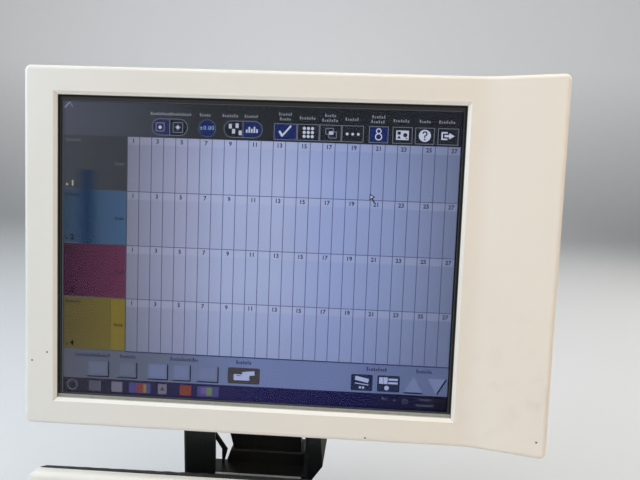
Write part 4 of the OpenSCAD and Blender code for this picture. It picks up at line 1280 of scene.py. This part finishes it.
for number in range(4):
    turn = math.radians(45 + 90 * number)
    contact(ROUND_X + 2.6 * math.cos(turn), SOCKET_Z + 2.6 * math.sin(turn), 0.7, 4.0)
for number in range(8):
    for row_place in both:
        contact(LONG_X + (number - 3.5) * PIN_PITCH, SOCKET_Z + 2.2 * row_place, 0.5, 3.6)
finish_piece(joined(contact_parts, "socket_contacts"), "socket_contacts", "head", "socket_metal")

# %% [markdown]
# Along the top of the dark backing lies a low dark strip, in the gap behind the pale panel. It grows
# thicker to the right, and its upper edge is ragged. So it is a long low block, cut across
# many times, whose upper cross edges are then pulled up one after another.

# %% Ragged dark strip
backing_low, backing_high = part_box("panel_backing")
DARK_STRIP_INSET = 9 * MM
dark_strip_left, dark_strip_right = backing_low.x + DARK_STRIP_INSET, backing_high.x - DARK_STRIP_INSET
dark_strip_base, dark_strip_top = backing_high.z, backing_high.z + 0.4 * MM
dark_strip_low = Vector((dark_strip_left, backing_low.y, dark_strip_base))
dark_strip_high = Vector((dark_strip_right, backing_high.y, dark_strip_top))
dark_strip_middle = (dark_strip_low + dark_strip_high) / 2
put_down_everything()
bpy.ops.mesh.primitive_cube_add(size=1, location=dark_strip_middle)
dark_strip = bpy.context.object
dark_strip.scale = dark_strip_high - dark_strip_low
set_down(dark_strip)
CUTS = 89
SWELL, RAGGED = 0.8, 0.7
pick(dark_strip, lambda middle, normal: abs(middle.x - dark_strip_middle.x) < 0.001, "EDGE")
bpy.ops.mesh.subdivide(number_cuts=CUTS)
object_mode()
step = (dark_strip_right - dark_strip_left) / (CUTS + 1)
rim = dark_strip_top - 0.1 * MM
for number in range(1, CUTS + 1):
    station = dark_strip_left + number * step
    pick(dark_strip, lambda middle, normal: abs(middle.x - station) < step / 4 and middle.z > rim, "EDGE")
    swell = min((station - dark_strip_left) / (0.40 * (dark_strip_right - dark_strip_left)), 1.0)
    ragged = abs(math.sin(number * 2.3) * math.sin(number * 0.71 + 1.0))
    lift = (SWELL + RAGGED * ragged) * swell
    bpy.ops.transform.translate(value=(0, 0, lift * MM))
    object_mode()
finish_piece(dark_strip, "backing_dark_strip", "plinth", "backing_paint")
print("dark strip", round((dark_strip_right - dark_strip_left) * 1000, 1), "mm long")

# %% [markdown]
# ## Floor and backdrop
#
# A studio uses a cyclorama: a floor that bends up into the wall with no seam, so that there is no line
# behind the object. It is one plane whose rear edge is extruded upwards, with the corner rounded by a bevel.
# The wall also glows a little for the camera and in reflections, so that it stays pale however the lamps
# stand, while the floor is left to the lamps and keeps the object's shadow.

# %% Cyclorama
FLOOR_W, FLOOR_D, WALL_H, CORNER_R = 9, 5.2, 3.2, 0.9
put_down_everything()
bpy.ops.mesh.primitive_plane_add(size=1, location=(0, 0.4, 0))
cyclorama = bpy.context.object
cyclorama.scale = (FLOOR_W, FLOOR_D, 1)
set_down(cyclorama)
rear_edge = max(v.co.y for v in cyclorama.data.vertices)
pick(cyclorama, lambda middle, normal: middle.y > rear_edge - 0.01, "EDGE")
bpy.ops.mesh.extrude_region_move(TRANSFORM_OT_translate={"value": (0, 0, WALL_H)})
object_mode()
pick(cyclorama, lambda middle, normal: abs(middle.y - rear_edge) < 0.01 and abs(middle.z) < 0.01, "EDGE")
bpy.ops.mesh.bevel(offset=CORNER_R, segments=14)
object_mode()
bpy.ops.object.shade_smooth()
cyclorama.name = "cyclorama"


def seen_directly(tree):
    """1 for what the camera, a reflection or a view through glass sees, and 0 for light that only spreads."""
    path = put(tree, "ShaderNodeLightPath")
    mirrored = calc(path.outputs["Is Camera Ray"], "max", path.outputs["Is Glossy Ray"])
    return calc(mirrored, "max", path.outputs["Is Transmission Ray"])


GREY_LOW, GREY_HIGH = (0.71, 0.715, 0.72), (0.74, 0.745, 0.75)
WALL_GLOW = 0.24
backdrop, tree, shader, place = new_material("pale backdrop")
mottle = noise(place, 0.002, 3.0)
up_the_wall = steps(calc(split(place)["Z"], "/", 2000.0), (0.0, 0.0), (0.5, 1.0))
wall_glow = calc(up_the_wall, "*", seen_directly(tree), "*", WALL_GLOW)
feed(shader, {"Base Color": mixed(mottle, GREY_LOW, GREY_HIGH), "Roughness": 0.9,
              "Emission Color": mixed(wall_glow, (0.0, 0.0, 0.0), (1.0, 1.0, 1.0)),
              "Emission Strength": 1.0})
cyclorama.data.materials.append(backdrop)

# %% [markdown]
# ## Light
#
# The display is lit from the left and from above with cool daylight, and a weaker, warmer light comes from
# the right. Large soft lamps stand in for them: the bevel of the mouth is brighter than the frame where it
# faces left or up, and darker where it faces right. A lamp at the rear keeps the back readable. The world
# adds an even grey so that no shadow turns black; the camera and reflections see it pale.

# %% Lamps and world
def lamp(name, place, target, size, power, colour):
    data = bpy.data.lights.new(name, "AREA")
    data.shape = "RECTANGLE"
    data.size, data.size_y = size
    data.energy = power
    data.color = colour
    light = bpy.data.objects.new(name, data)
    bpy.context.scene.collection.objects.link(light)
    aim = (Vector(target) - Vector(place)).to_track_quat("-Z", "Y")
    light.matrix_world = Matrix.Translation(place) @ aim.to_matrix().to_4x4()


middle = (Vector(cad_low) + Vector(cad_high)) / 2
lamp("window light", (-1.9, -0.7, 1.3), (0.0, 0.0, 0.85), (1.5, 1.4), 35, (0.84, 0.97, 1.12))
lamp("ceiling light", (0.0, -0.4, 2.1), middle, (1.6, 1.2), 23, (0.98, 1.0, 1.0))
lamp("right light", (1.4, -1.4, 0.9), (0.0, 0.0, 0.5), (1.0, 0.8), 11, (1.0, 0.80, 0.58))
lamp("rear light", (1.5, 0.7, 1.3), middle, (1.2, 1.0), 12, (1.0, 0.96, 0.88))

world = bpy.data.worlds.new("studio")
bpy.context.scene.world = world
world.use_nodes = True
tree = world.node_tree
background = tree.nodes["Background"]
SPREAD_GREY, SEEN_GREY = (0.14, 0.143, 0.146), (0.64, 0.65, 0.66)
feed(background, {"Color": mixed(seen_directly(tree), SPREAD_GREY, SEEN_GREY), "Strength": 1.0})

# %% Measures and finish
print("box of the solids", [round((b - a) * 1000, 1) for a, b in zip(cad_low, cad_high)], "mm")
